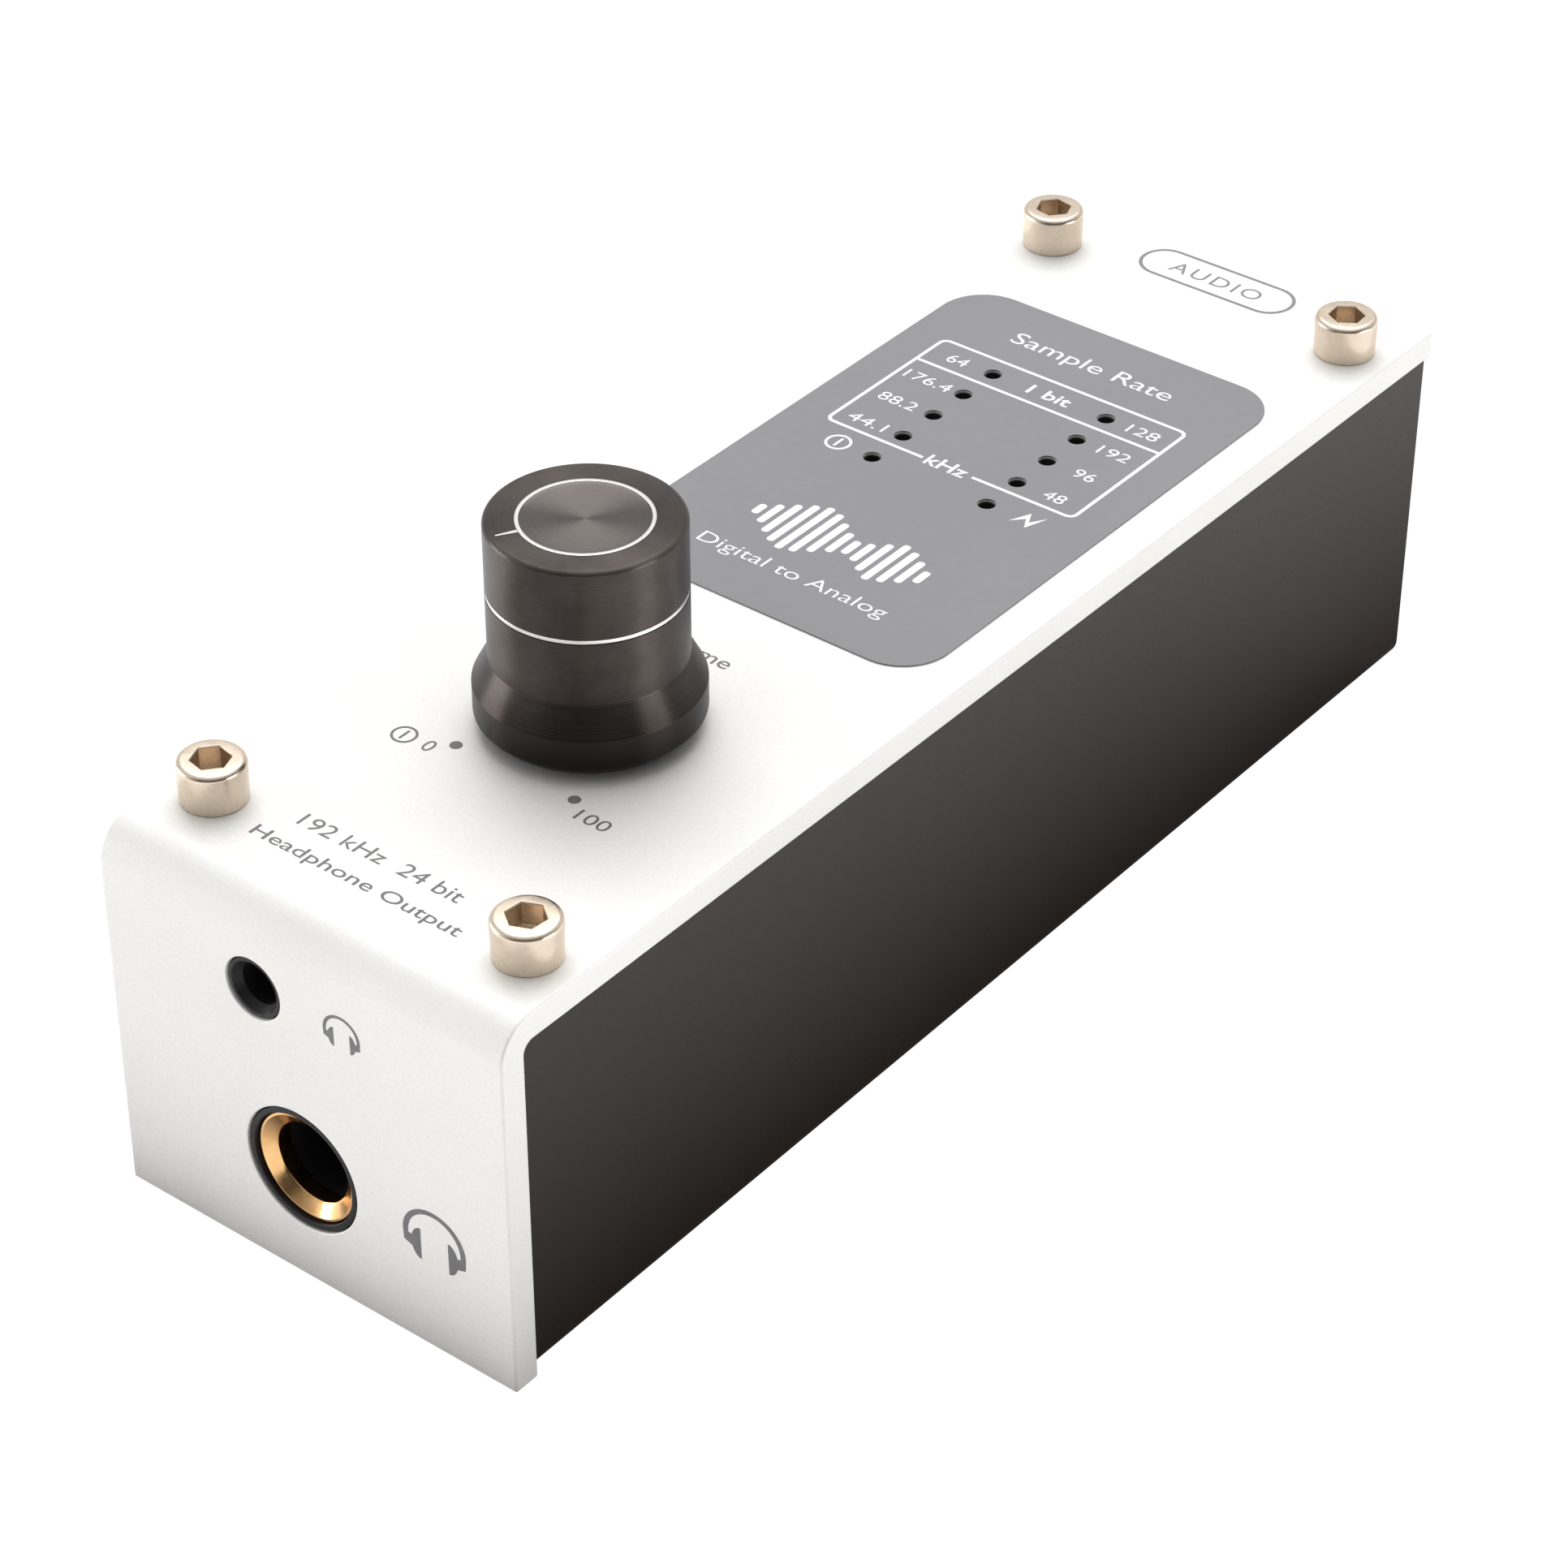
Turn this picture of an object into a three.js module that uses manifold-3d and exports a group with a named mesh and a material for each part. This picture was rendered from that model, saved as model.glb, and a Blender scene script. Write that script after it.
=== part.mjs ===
// Desktop DAC with headphone amplifier: a slim aluminium box with a volume knob and ten
// indicator LEDs on top, two headphone sockets in front, and a USB input and a line output behind.
// Millimetres, +Z up, front face towards -Y. The exported group's origin is the middle of the
// object's footprint, at the underside of the rubber feet.
import * as THREE from "three";
import { mergeVertices } from "three/addons/utils/BufferGeometryUtils.js";
import Module from "manifold-3d";

const wasm = await Module();
wasm.setup();

// ---------------------------------------------------------------- driving dimensions
// Case coordinates: x across, y from the front face to the rear, z up from the case's underside.
const WIDTH = 40;
const LENGTH = 124.2;
const HEIGHT = 34.4;
const FOOT_HEIGHT = 1.2;
const GAP = 0.02; // left between two faces that rest on each other

// Number of sides on a round shape, by how large it is.
const FINE = 32;
const ROUND = 20;
const SMALL = 12;

// Bent cover plate, the top and the front in one piece.
const COVER_T = 2.5;
const BEND_INNER = 1;
const BEND_OUTER = BEND_INNER + COVER_T;
const COVER_EDGE = 0.25;
const COVER_UNDER = HEIGHT - COVER_T;

// Folded sheet tray: floor, sides and rear wall.
const SHEET = 1.2;
const TRAY_INSET = 0.4;
const TRAY_BEND = 1.8;
const TRAY_HALF = WIDTH / 2 - TRAY_INSET;
const TRAY_TOP = COVER_UNDER - 0.05;
const TRAY_FRONT = COVER_T + 0.1;
const TRAY_REAR = LENGTH - 0.3;
const REAR_SEAM = 0.25;

// Fastener stacks at the four corners.
const SCREW_X = 15.56;
const SCREW_FRONT_Y = 8.14;
const SCREW_REAR_Y = 116.68;
const THREAD_R = 1.45;
const TAPPED_R = 1.65;
const CLEAR_R = 1.75;
const CAP_R = 2.75;
const CAP_HEIGHT = 3.6;
const STANDOFF_FLATS = 5;

// Circuit boards.
const BOARD_T = 1.6;
const BOARD_HALF = 17.9;
const BOARD_FRONT = 3.2;
const BOARD_REAR = 121.8;
const MAIN_BOARD_TOP = 5;
const UPPER_BOARD_TOP = 24;
const MAIN_BOARD_UNDER = MAIN_BOARD_TOP - BOARD_T;
const UPPER_BOARD_UNDER = UPPER_BOARD_TOP - BOARD_T;

// Indicator LEDs: two columns of five.
const LED_X = 5.94;
const LED_Y0 = 77.09;
const LED_PITCH = 4.303;
const LED_COUNT = 5;
const LED_HOLE_R = 0.8;

// Printed film round the LEDs.
const LABEL_HALF = 16.45;
const LABEL_Y0 = 53;
const LABEL_Y1 = 105.9;
const LABEL_CORNER = 4.5;
const LABEL_T = 0.12;

// Volume control.
const KNOB_Y = 33.6;
const KNOB_TURN = THREE.MathUtils.degToRad(-30); // pointer at the 0 mark
const KNOB_BOTTOM = HEIGHT + 0.7;
const KNOB_TOP = 52.75;
const KNOB_R = 7.8;
const SKIRT_R = 9.1;
const RING_OUTER = 5.36;
const RING_INNER = 5.02;
const SHAFT_R = 3;
const SHAFT_BORE_R = 3.15;
const BUSHING_R = 3.45;
const BUSHING_HOLE_R = 3.8;
const GRUB_Z = 43;

// Front sockets.
const BIG_JACK_X = -1;
const BIG_JACK_Z = 10.7;
const BIG_JACK_HOLE_R = 5.6;
const BIG_BUSHING_R = 4.85;
const BIG_BORE_R = 3.55;
const SMALL_JACK_X = -4.65;
const SMALL_JACK_RISE = 2.4; // axis above its board
const SMALL_JACK_HOLE_R = 2.73;
const SMALL_BORE_R = 1.8;

// Rear sockets.
const USB_X = -5.5;
const USB_HALF = 6;
const USB_TOP = 15.9;
const USB_DEPTH = 16;
const LINE_OUT_X = 7.5;

const CORNERS = [
  ["front_left", -SCREW_X, SCREW_FRONT_Y],
  ["front_right", SCREW_X, SCREW_FRONT_Y],
  ["rear_left", -SCREW_X, SCREW_REAR_Y],
  ["rear_right", SCREW_X, SCREW_REAR_Y],
];

// ---------------------------------------------------------------- shape helpers
function toSolid(geometry) {
  const bare = geometry.clone();
  bare.deleteAttribute("normal");
  bare.deleteAttribute("uv");
  const merged = mergeVertices(bare, 1e-4);
  return new wasm.Manifold(
    new wasm.Mesh({
      numProp: 3,
      vertProperties: new Float32Array(merged.attributes.position.array),
      triVerts: new Uint32Array(merged.index.array),
    }),
  );
}

function toGeometry(solid) {
  const mesh = solid.getMesh();
  const geometry = new THREE.BufferGeometry();
  const points = new Float32Array(mesh.vertProperties);
  geometry.setAttribute("position", new THREE.BufferAttribute(points, 3));
  geometry.setIndex(new THREE.BufferAttribute(new Uint32Array(mesh.triVerts), 1));
  geometry.computeVertexNormals();
  return geometry;
}

function join(...geometries) {
  return toGeometry(geometries.map(toSolid).reduce((whole, next) => whole.add(next)));
}

function cut(geometry, tools) {
  const start = toSolid(geometry);
  return toGeometry(tools.map(toSolid).reduce((rest, tool) => rest.subtract(tool), start));
}

function block(x0, x1, y0, y1, z0, z1) {
  const box = new THREE.BoxGeometry(x1 - x0, y1 - y0, z1 - z0);
  return box.translate((x0 + x1) / 2, (y0 + y1) / 2, (z0 + z1) / 2);
}

// A cylinder, or a prism with few sides, standing along z.
function post(radius, z0, z1, sides = ROUND, x = 0, y = 0) {
  const upright = new THREE.CylinderGeometry(radius, radius, z1 - z0, sides).rotateX(Math.PI / 2);
  return upright.translate(x, y, (z0 + z1) / 2);
}

// A hexagonal prism standing along z, with two flats facing the sides.
function hexagon(acrossFlats, z0, z1) {
  return post(acrossFlats / 2 / Math.cos(Math.PI / 6), z0, z1, 6);
}

// A cylinder lying along y.
function rod(radius, y0, y1, sides = ROUND, x = 0, z = 0) {
  const cylinder = new THREE.CylinderGeometry(radius, radius, y1 - y0, sides);
  return cylinder.translate(x, (y0 + y1) / 2, z);
}

// A solid of revolution about z, from [radius, height] pairs that run up the outside.
function turned(profile, sides = ROUND) {
  const points = profile.map(([radius, height]) => new THREE.Vector2(radius, height));
  return new THREE.LatheGeometry(points, sides).rotateX(Math.PI / 2);
}

// An outline in the x-z plane made into a solid from y0 to y1.
function extrudeAlongY(outline, y0, y1) {
  const options = { depth: y1 - y0, bevelEnabled: false, curveSegments: 3 };
  const solid = new THREE.ExtrudeGeometry(outline, options);
  return solid.rotateX(Math.PI / 2).translate(0, y1, 0);
}

// An outline in the y-z plane made into a solid from -halfWidth to halfWidth, edges broken.
function extrudeAlongX(outline, halfWidth, edge) {
  const options = {
    depth: 2 * (halfWidth - edge),
    bevelEnabled: edge > 0,
    bevelThickness: edge,
    bevelSize: edge,
    bevelOffset: -edge,
    bevelSegments: 1,
    curveSegments: 4,
  };
  const solid = new THREE.ExtrudeGeometry(outline, options).translate(0, 0, edge - halfWidth);
  const turn = new THREE.Matrix4().makeBasis(
    new THREE.Vector3(0, 1, 0),
    new THREE.Vector3(0, 0, 1),
    new THREE.Vector3(1, 0, 0),
  );
  return solid.applyMatrix4(turn);
}

function roundedRectangle(x0, x1, y0, y1, radius) {
  const outline = new THREE.Shape();
  outline.moveTo(x0 + radius, y0);
  outline.absarc(x1 - radius, y0 + radius, radius, -Math.PI / 2, 0);
  outline.absarc(x1 - radius, y1 - radius, radius, 0, Math.PI / 2);
  outline.absarc(x0 + radius, y1 - radius, radius, Math.PI / 2, Math.PI);
  outline.absarc(x0 + radius, y0 + radius, radius, Math.PI, 1.5 * Math.PI);
  return outline;
}

function ledPlaces() {
  const places = [];
  for (const [side, x] of [["left", -LED_X], ["right", LED_X]]) {
    for (let row = 0; row < LED_COUNT; row += 1) {
      places.push({ name: `led_${side}_${row + 1}`, x, y: LED_Y0 + row * LED_PITCH });
    }
  }
  return places;
}

// ---------------------------------------------------------------- case
function coverGeometry() {
  const outline = new THREE.Shape();
  outline.moveTo(0, 0);
  outline.lineTo(COVER_T, 0);
  outline.absarc(BEND_OUTER, HEIGHT - BEND_OUTER, BEND_INNER, Math.PI, Math.PI / 2, true);
  outline.lineTo(LENGTH, COVER_UNDER);
  outline.lineTo(LENGTH, HEIGHT);
  outline.absarc(BEND_OUTER, HEIGHT - BEND_OUTER, BEND_OUTER, Math.PI / 2, Math.PI);

  const low = COVER_UNDER - 1;
  const high = HEIGHT + 1;
  const holes = CORNERS.map(([, x, y]) => post(CLEAR_R, low, high, SMALL, x, y));
  for (const led of ledPlaces()) {
    holes.push(post(LED_HOLE_R, low, high, SMALL, led.x, led.y));
  }
  holes.push(post(BUSHING_HOLE_R, low, high, ROUND, 0, KNOB_Y));
  holes.push(rod(BIG_JACK_HOLE_R, -1, COVER_T + 1, FINE, BIG_JACK_X, BIG_JACK_Z));
  const smallJackZ = UPPER_BOARD_TOP + SMALL_JACK_RISE;
  holes.push(rod(SMALL_JACK_HOLE_R, -1, COVER_T + 1, ROUND, SMALL_JACK_X, smallJackZ));
  return cut(extrudeAlongX(outline, WIDTH / 2, COVER_EDGE), holes);
}

function labelGeometry() {
  const outline = roundedRectangle(-LABEL_HALF, LABEL_HALF, LABEL_Y0, LABEL_Y1, LABEL_CORNER);
  for (const led of ledPlaces()) {
    const window = new THREE.Path();
    window.absarc(led.x, led.y, LED_HOLE_R, 0, 2 * Math.PI);
    outline.holes.push(window);
  }
  const options = { depth: LABEL_T, bevelEnabled: false, curveSegments: 5 };
  return new THREE.ExtrudeGeometry(outline, options).translate(0, 0, HEIGHT + GAP);
}

// Countersunk hole in the floor, wide end down.
function countersink() {
  const low = -0.1;
  const mouth = 2.85;
  const high = SHEET + 0.1;
  return turned([[0, low], [mouth, low], [CLEAR_R, SHEET - 0.1], [CLEAR_R, high], [0, high]], SMALL);
}

function trayGeometry() {
  const inner = TRAY_HALF - SHEET;
  const innerBend = TRAY_BEND - SHEET;
  const outline = new THREE.Shape();
  outline.moveTo(-TRAY_HALF, TRAY_TOP);
  outline.absarc(TRAY_BEND - TRAY_HALF, TRAY_BEND, TRAY_BEND, Math.PI, 1.5 * Math.PI);
  outline.absarc(TRAY_HALF - TRAY_BEND, TRAY_BEND, TRAY_BEND, 1.5 * Math.PI, 2 * Math.PI);
  outline.lineTo(TRAY_HALF, TRAY_TOP);
  outline.lineTo(inner, TRAY_TOP);
  outline.absarc(inner - innerBend, TRAY_BEND, innerBend, 0, -Math.PI / 2, true);
  outline.absarc(innerBend - inner, TRAY_BEND, innerBend, 1.5 * Math.PI, Math.PI, true);
  outline.lineTo(-inner, TRAY_TOP);

  // Rear wall, folded up from the floor between the sides with a narrow seam at each.
  const wallHalf = inner - REAR_SEAM;
  const wall = block(-wallHalf, wallHalf, TRAY_REAR - SHEET, TRAY_REAR, SHEET / 2, TRAY_TOP);

  // The sides' front corners are rounded to follow the bend of the cover.
  const reach = 1.3;
  const corner = new THREE.Shape();
  corner.moveTo(TRAY_FRONT - 1, TRAY_TOP + 1);
  corner.lineTo(TRAY_FRONT - 1, TRAY_TOP - reach);
  corner.absarc(TRAY_FRONT + reach, TRAY_TOP - reach, reach, Math.PI, Math.PI / 2, true);
  corner.lineTo(TRAY_FRONT + reach, TRAY_TOP + 1);

  const wallFront = TRAY_REAR - 2 * SHEET;
  const usbMargin = 0.25;
  const usbHole = block(
    USB_X - USB_HALF - usbMargin,
    USB_X + USB_HALF + usbMargin,
    wallFront,
    TRAY_REAR + 1,
    MAIN_BOARD_TOP - usbMargin,
    USB_TOP + usbMargin,
  );
  const lineOutZ = MAIN_BOARD_TOP + SMALL_JACK_RISE;
  const lineOutHole = rod(SMALL_JACK_HOLE_R, wallFront, TRAY_REAR + 1, ROUND, LINE_OUT_X, lineOutZ);
  const floorHoles = CORNERS.map(([, x, y]) => countersink().translate(x, y, 0));
  const tray = join(extrudeAlongY(outline, TRAY_FRONT, TRAY_REAR), wall);
  return cut(tray, [extrudeAlongX(corner, WIDTH / 2, 0), usbHole, lineOutHole, ...floorHoles]);
}

function footGeometry() {
  const edge = 0.3;
  const radius = 4;
  const low = -FOOT_HEIGHT;
  return turned([[0, low], [radius - edge, low], [radius, low + edge], [radius, -GAP], [0, -GAP]]);
}

// ---------------------------------------------------------------- fasteners
function capScrewGeometry() {
  const edge = 0.5;
  const seat = HEIGHT + GAP;
  const top = seat + CAP_HEIGHT;
  const tip = seat - 8;
  const profile = [
    [0, tip],
    [THREAD_R, tip],
    [THREAD_R, seat],
    [CAP_R, seat],
    [CAP_R, top - edge],
    [CAP_R - 0.15, top - 0.15],
    [CAP_R - edge, top],
    [0, top],
  ];
  return cut(turned(profile), [hexagon(2.8, top - 1.9, top + 1)]);
}

function countersunkScrewGeometry() {
  const low = 0.08;
  const high = 10;
  const headHeight = SHEET - low;
  const headR = THREAD_R + headHeight;
  const profile = [[0, low], [headR, low], [THREAD_R, SHEET], [THREAD_R, high], [0, high]];
  const long = 1.4;
  const narrow = 0.3;
  const slots = [
    block(-long, long, -narrow, narrow, -1, low + 0.7),
    block(-narrow, narrow, -long, long, -1, low + 0.7),
  ];
  return cut(turned(profile, SMALL), slots);
}

function spacerGeometry() {
  const low = SHEET + GAP;
  const high = MAIN_BOARD_UNDER - GAP;
  return cut(post(2.35, low, high, SMALL), [post(CLEAR_R, low - 1, high + 1, SMALL)]);
}

function lowerStandoffGeometry() {
  const low = MAIN_BOARD_TOP + GAP;
  const high = UPPER_BOARD_UNDER - GAP;
  return cut(hexagon(STANDOFF_FLATS, low, high), [post(TAPPED_R, low - 1, high + 1, SMALL)]);
}

// Male end down through the upper board, female end up for the cover screw.
function upperStandoffGeometry() {
  const low = UPPER_BOARD_TOP + GAP;
  const high = COVER_UNDER - GAP;
  const stud = post(THREAD_R, low - 7, low + 0.5, SMALL);
  const bore = post(TAPPED_R, low + 1.2, high + 1, SMALL);
  return cut(join(hexagon(STANDOFF_FLATS, low, high), stud), [bore]);
}

// ---------------------------------------------------------------- electronics
function boardGeometry(top) {
  const outline = roundedRectangle(-BOARD_HALF, BOARD_HALF, BOARD_FRONT, BOARD_REAR, 1);
  for (const [, x, y] of CORNERS) {
    const hole = new THREE.Path();
    hole.absarc(x, y, CLEAR_R, 0, 2 * Math.PI);
    outline.holes.push(hole);
  }
  const options = { depth: BOARD_T, bevelEnabled: false, curveSegments: 5 };
  return new THREE.ExtrudeGeometry(outline, options).translate(0, 0, top - BOARD_T);
}

// 6.35 mm socket: a rectangular body on the board and a round nose in the front plate.
function bigJackBodyGeometry() {
  const half = 8;
  const rear = 30;
  const rise = BIG_JACK_Z - MAIN_BOARD_TOP - GAP;
  const body = block(-half, half, TRAY_FRONT + 0.4, rear, -rise, rise);
  const nose = rod(BIG_JACK_HOLE_R - 0.12, 0.15, TRAY_FRONT + 1, FINE);
  const seat = rod(BIG_BUSHING_R + 0.1, -1, 2.7, FINE);
  const bore = rod(BIG_BORE_R, 2, rear - 2, FINE);
  return cut(join(body, nose), [seat, bore]);
}

// Plated ring that guides the plug, with a conical mouth.
function bigJackBushingGeometry() {
  const mouth = 0.5;
  const rear = 2.6;
  const profile = [
    [BIG_BUSHING_R, mouth],
    [BIG_BUSHING_R, rear],
    [BIG_BORE_R, rear],
    [BIG_BORE_R, 1.25],
    [BIG_BORE_R + 0.2, 1.1],
    [BIG_BUSHING_R - 0.25, mouth],
    [BIG_BUSHING_R, mouth],
  ];
  return new THREE.LatheGeometry(profile.map(([radius, y]) => new THREE.Vector2(radius, y)), FINE);
}

// 3.5 mm socket with its mouth towards -y. Depths are from the outer face of the panel.
function smallJackGeometry(noseDepth, shoulderDepth) {
  const low = GAP - SMALL_JACK_RISE;
  const body = block(-3.1, 3.1, shoulderDepth, shoulderDepth + 12, low, low + 5);
  const nose = rod(SMALL_JACK_HOLE_R - 0.1, noseDepth, shoulderDepth + 0.05);
  return cut(join(body, nose), [rod(SMALL_BORE_R, -1, shoulderDepth + 10.5)]);
}

function usbShellGeometry() {
  const mouth = LENGTH - 0.05;
  const middle = (MAIN_BOARD_TOP + USB_TOP) / 2;
  const body = block(-USB_HALF, USB_HALF, mouth - USB_DEPTH, mouth, MAIN_BOARD_TOP + GAP, USB_TOP);
  const wide = 4.3;
  const tall = 3.95;
  const bevel = 1.6;
  const opening = new THREE.Shape();
  opening.moveTo(-wide, middle - tall);
  opening.lineTo(wide, middle - tall);
  opening.lineTo(wide, middle + tall - bevel);
  opening.lineTo(wide - bevel, middle + tall);
  opening.lineTo(bevel - wide, middle + tall);
  opening.lineTo(-wide, middle + tall - bevel);
  return cut(body, [extrudeAlongY(opening, mouth - 12.5, mouth + 1)]);
}

function usbTongueGeometry() {
  const middle = (MAIN_BOARD_TOP + USB_TOP) / 2;
  const mouth = LENGTH - 0.05;
  return block(-2.8, 2.8, mouth - 12.5 + GAP, mouth - 2.5, middle - 1.6, middle + 1.6);
}

function ledGeometry() {
  const profile = [
    [0, UPPER_BOARD_TOP + GAP],
    [0.3, UPPER_BOARD_TOP + GAP],
    [0.3, 27],
    [0.9, 27],
    [0.9, 31.4],
    [0.62, 31.8],
    [0.62, HEIGHT - 0.7],
    [0.35, HEIGHT - 0.4],
    [0, HEIGHT - 0.3],
  ];
  return turned(profile, SMALL);
}

// Black spacer block that holds one column of LEDs upright.
function ledHolderGeometry() {
  const margin = 2.2;
  const end = (LED_COUNT - 1) * LED_PITCH + margin;
  const outline = roundedRectangle(-margin, margin, -margin, end, 0.6);
  for (let row = 0; row < LED_COUNT; row += 1) {
    const hole = new THREE.Path();
    hole.absarc(0, row * LED_PITCH, 1.05, 0, 2 * Math.PI);
    outline.holes.push(hole);
  }
  const options = { depth: 5.5, bevelEnabled: false, curveSegments: 4 };
  return new THREE.ExtrudeGeometry(outline, options).translate(0, 0, UPPER_BOARD_TOP + GAP);
}

function chipGeometry(half, board) {
  const standoff = 0.1;
  return block(-half, half, -half, half, board + standoff, board + standoff + 1.2);
}

function capacitorGeometry() {
  const low = MAIN_BOARD_TOP + GAP;
  const top = low + 7.2;
  const can = 3.15;
  const waist = can - 0.3;
  const profile = [
    [0, low],
    [can, low],
    [can, low + 1],
    [waist, low + 1.4],
    [can, low + 1.8],
    [can, top - 0.3],
    [waist, top],
    [0, top],
  ];
  return turned(profile, SMALL);
}

// ---------------------------------------------------------------- volume control
function potentiometerGeometry() {
  const body = block(-4.9, 4.9, -5.7, 5.7, UPPER_BOARD_TOP + GAP, 30.8);
  const bushing = post(BUSHING_R, 30, 37.2, FINE);
  return cut(join(body, bushing), [post(SHAFT_BORE_R, 25.5, 40, FINE)]);
}

function shaftGeometry() {
  const flat = block(-SHAFT_R - 1, SHAFT_R + 1, 1.5, SHAFT_R + 1, 38.5, 50);
  return cut(post(SHAFT_R, 25.8, 46.7, FINE), [flat]);
}

function washerGeometry() {
  const low = HEIGHT + GAP;
  return cut(post(5.5, low, low + 0.5), [post(BUSHING_HOLE_R, low - 1, low + 2)]);
}

function nutGeometry() {
  const low = HEIGHT + GAP + 0.55;
  return cut(hexagon(10, low, low + 1.9), [post(BUSHING_HOLE_R, low - 1, low + 3)]);
}

// Turned knob, pointer towards -y before the knob is set to its mark.
function knobGeometry() {
  const grooveZ = 46.6;
  const groove = 0.25;
  const dish = 0.15;
  const skirtTop = 38.4;
  const neck = 40.9;
  const recessTop = 37.6;
  const profile = [
    [SHAFT_BORE_R, recessTop],
    [7, recessTop],
    [7, KNOB_BOTTOM],
    [8.3, KNOB_BOTTOM],
    [SKIRT_R, KNOB_BOTTOM + 0.5],
    [SKIRT_R, skirtTop],
    [KNOB_R, neck],
    [KNOB_R, grooveZ - groove],
    [KNOB_R - groove, grooveZ],
    [KNOB_R, grooveZ + groove],
    [KNOB_R, KNOB_TOP - 0.2],
    [KNOB_R - 0.2, KNOB_TOP],
    [RING_INNER, KNOB_TOP],
    [RING_INNER - 0.15, KNOB_TOP - dish],
    [0, KNOB_TOP - dish],
    [0, 47],
    [SHAFT_BORE_R, 47],
    [SHAFT_BORE_R, recessTop],
  ];
  const pointer = block(-0.25, 0.25, 0.3 - KNOB_R, -RING_OUTER - 0.15, KNOB_TOP - 0.25, KNOB_TOP + 1);
  const grubHole = rod(1.5, 0, KNOB_R + 1, SMALL, 0, GRUB_Z);
  return cut(turned(profile, 36), [pointer, grubHole]);
}

function grubScrewGeometry() {
  const outer = 6.6;
  const body = rod(1.35, 1.6, outer, SMALL, 0, GRUB_Z);
  const socket = rod(0.85, outer - 1.4, outer + 1, 6, 0, GRUB_Z);
  return cut(body, [socket]);
}

// ---------------------------------------------------------------- finishes: colour, roughness, metalness
const SILVER = [0xe6e6e2, 0.45, 0.6];
const BLACK_ANODISED = [0x2b2725, 0.6, 0.4];
const FILM_GREY = [0x9b9b9e, 0.6, 0];
const NICKEL = [0xc9b59c, 0.28, 1];
const ZINC = [0xb8b8b6, 0.4, 1];
const BRASS = [0xd09a4c, 0.25, 1];
const BOARD_GREEN = [0x1f4d33, 0.5, 0];
const BLACK_PLASTIC = [0x1a1a1c, 0.5, 0];
const LENS = [0xb8bab4, 0.3, 0];
const KNOB_BLACK = [0x3a322f, 0.35, 0.7];
const RUBBER = [0x161616, 0.9, 0];
const POUCH = [0xb9bcbf, 0.35, 0.8];
const FOAM = [0x2f2f31, 0.95, 0];
const WHITE_PLASTIC = [0xe9e7e0, 0.5, 0];

function piece(parent, name, geometry, finish, position = [0, 0, 0]) {
  const [color, roughness, metalness] = finish;
  const material = new THREE.MeshStandardMaterial({ color, roughness, metalness });
  const mesh = new THREE.Mesh(geometry, material);
  mesh.name = name;
  mesh.position.set(...position);
  parent.add(mesh);
  return mesh;
}

// ---------------------------------------------------------------- assembly
const dac = new THREE.Group();
const device = new THREE.Group();
device.position.set(0, -LENGTH / 2, FOOT_HEIGHT);
dac.add(device);

piece(device, "top_cover", coverGeometry(), SILVER);
piece(device, "label_overlay", labelGeometry(), FILM_GREY);
piece(device, "chassis", trayGeometry(), BLACK_ANODISED);

const footX = 14;
const footInset = 20;
for (const [corner, x, y] of CORNERS) {
  piece(device, `cover_screw_${corner}`, capScrewGeometry(), NICKEL, [x, y, 0]);
  piece(device, `base_screw_${corner}`, countersunkScrewGeometry(), BLACK_ANODISED, [x, y, 0]);
  piece(device, `board_spacer_${corner}`, spacerGeometry(), ZINC, [x, y, 0]);
  piece(device, `lower_standoff_${corner}`, lowerStandoffGeometry(), BRASS, [x, y, 0]);
  piece(device, `upper_standoff_${corner}`, upperStandoffGeometry(), BRASS, [x, y, 0]);
  const footY = y < LENGTH / 2 ? footInset : LENGTH - footInset;
  piece(device, `foot_${corner}`, footGeometry(), RUBBER, [Math.sign(x) * footX, footY, 0]);
}

piece(device, "main_board", boardGeometry(MAIN_BOARD_TOP), BOARD_GREEN);
piece(device, "upper_board", boardGeometry(UPPER_BOARD_TOP), BOARD_GREEN);

const bigJack = [BIG_JACK_X, 0, BIG_JACK_Z];
piece(device, "headphone_jack_635_body", bigJackBodyGeometry(), BLACK_PLASTIC, bigJack);
piece(device, "headphone_jack_635_bushing", bigJackBushingGeometry(), BRASS, bigJack);
const smallJack = [SMALL_JACK_X, 0, UPPER_BOARD_TOP + SMALL_JACK_RISE];
piece(device, "headphone_jack_35_body", smallJackGeometry(0.2, 3), BLACK_PLASTIC, smallJack);
const lineOut = [LINE_OUT_X, LENGTH, MAIN_BOARD_TOP + SMALL_JACK_RISE];
const lineJack = smallJackGeometry(0.5, 2.3).rotateZ(Math.PI);
piece(device, "line_out_jack_body", lineJack, BLACK_PLASTIC, lineOut);
piece(device, "usb_socket_shell", usbShellGeometry(), ZINC, [USB_X, 0, 0]);
piece(device, "usb_socket_tongue", usbTongueGeometry(), WHITE_PLASTIC, [USB_X, 0, 0]);

for (const led of ledPlaces()) {
  piece(device, led.name, ledGeometry(), LENS, [led.x, led.y, 0]);
}
piece(device, "led_holder_left", ledHolderGeometry(), BLACK_PLASTIC, [-LED_X, LED_Y0, 0]);
piece(device, "led_holder_right", ledHolderGeometry(), BLACK_PLASTIC, [LED_X, LED_Y0, 0]);

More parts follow.
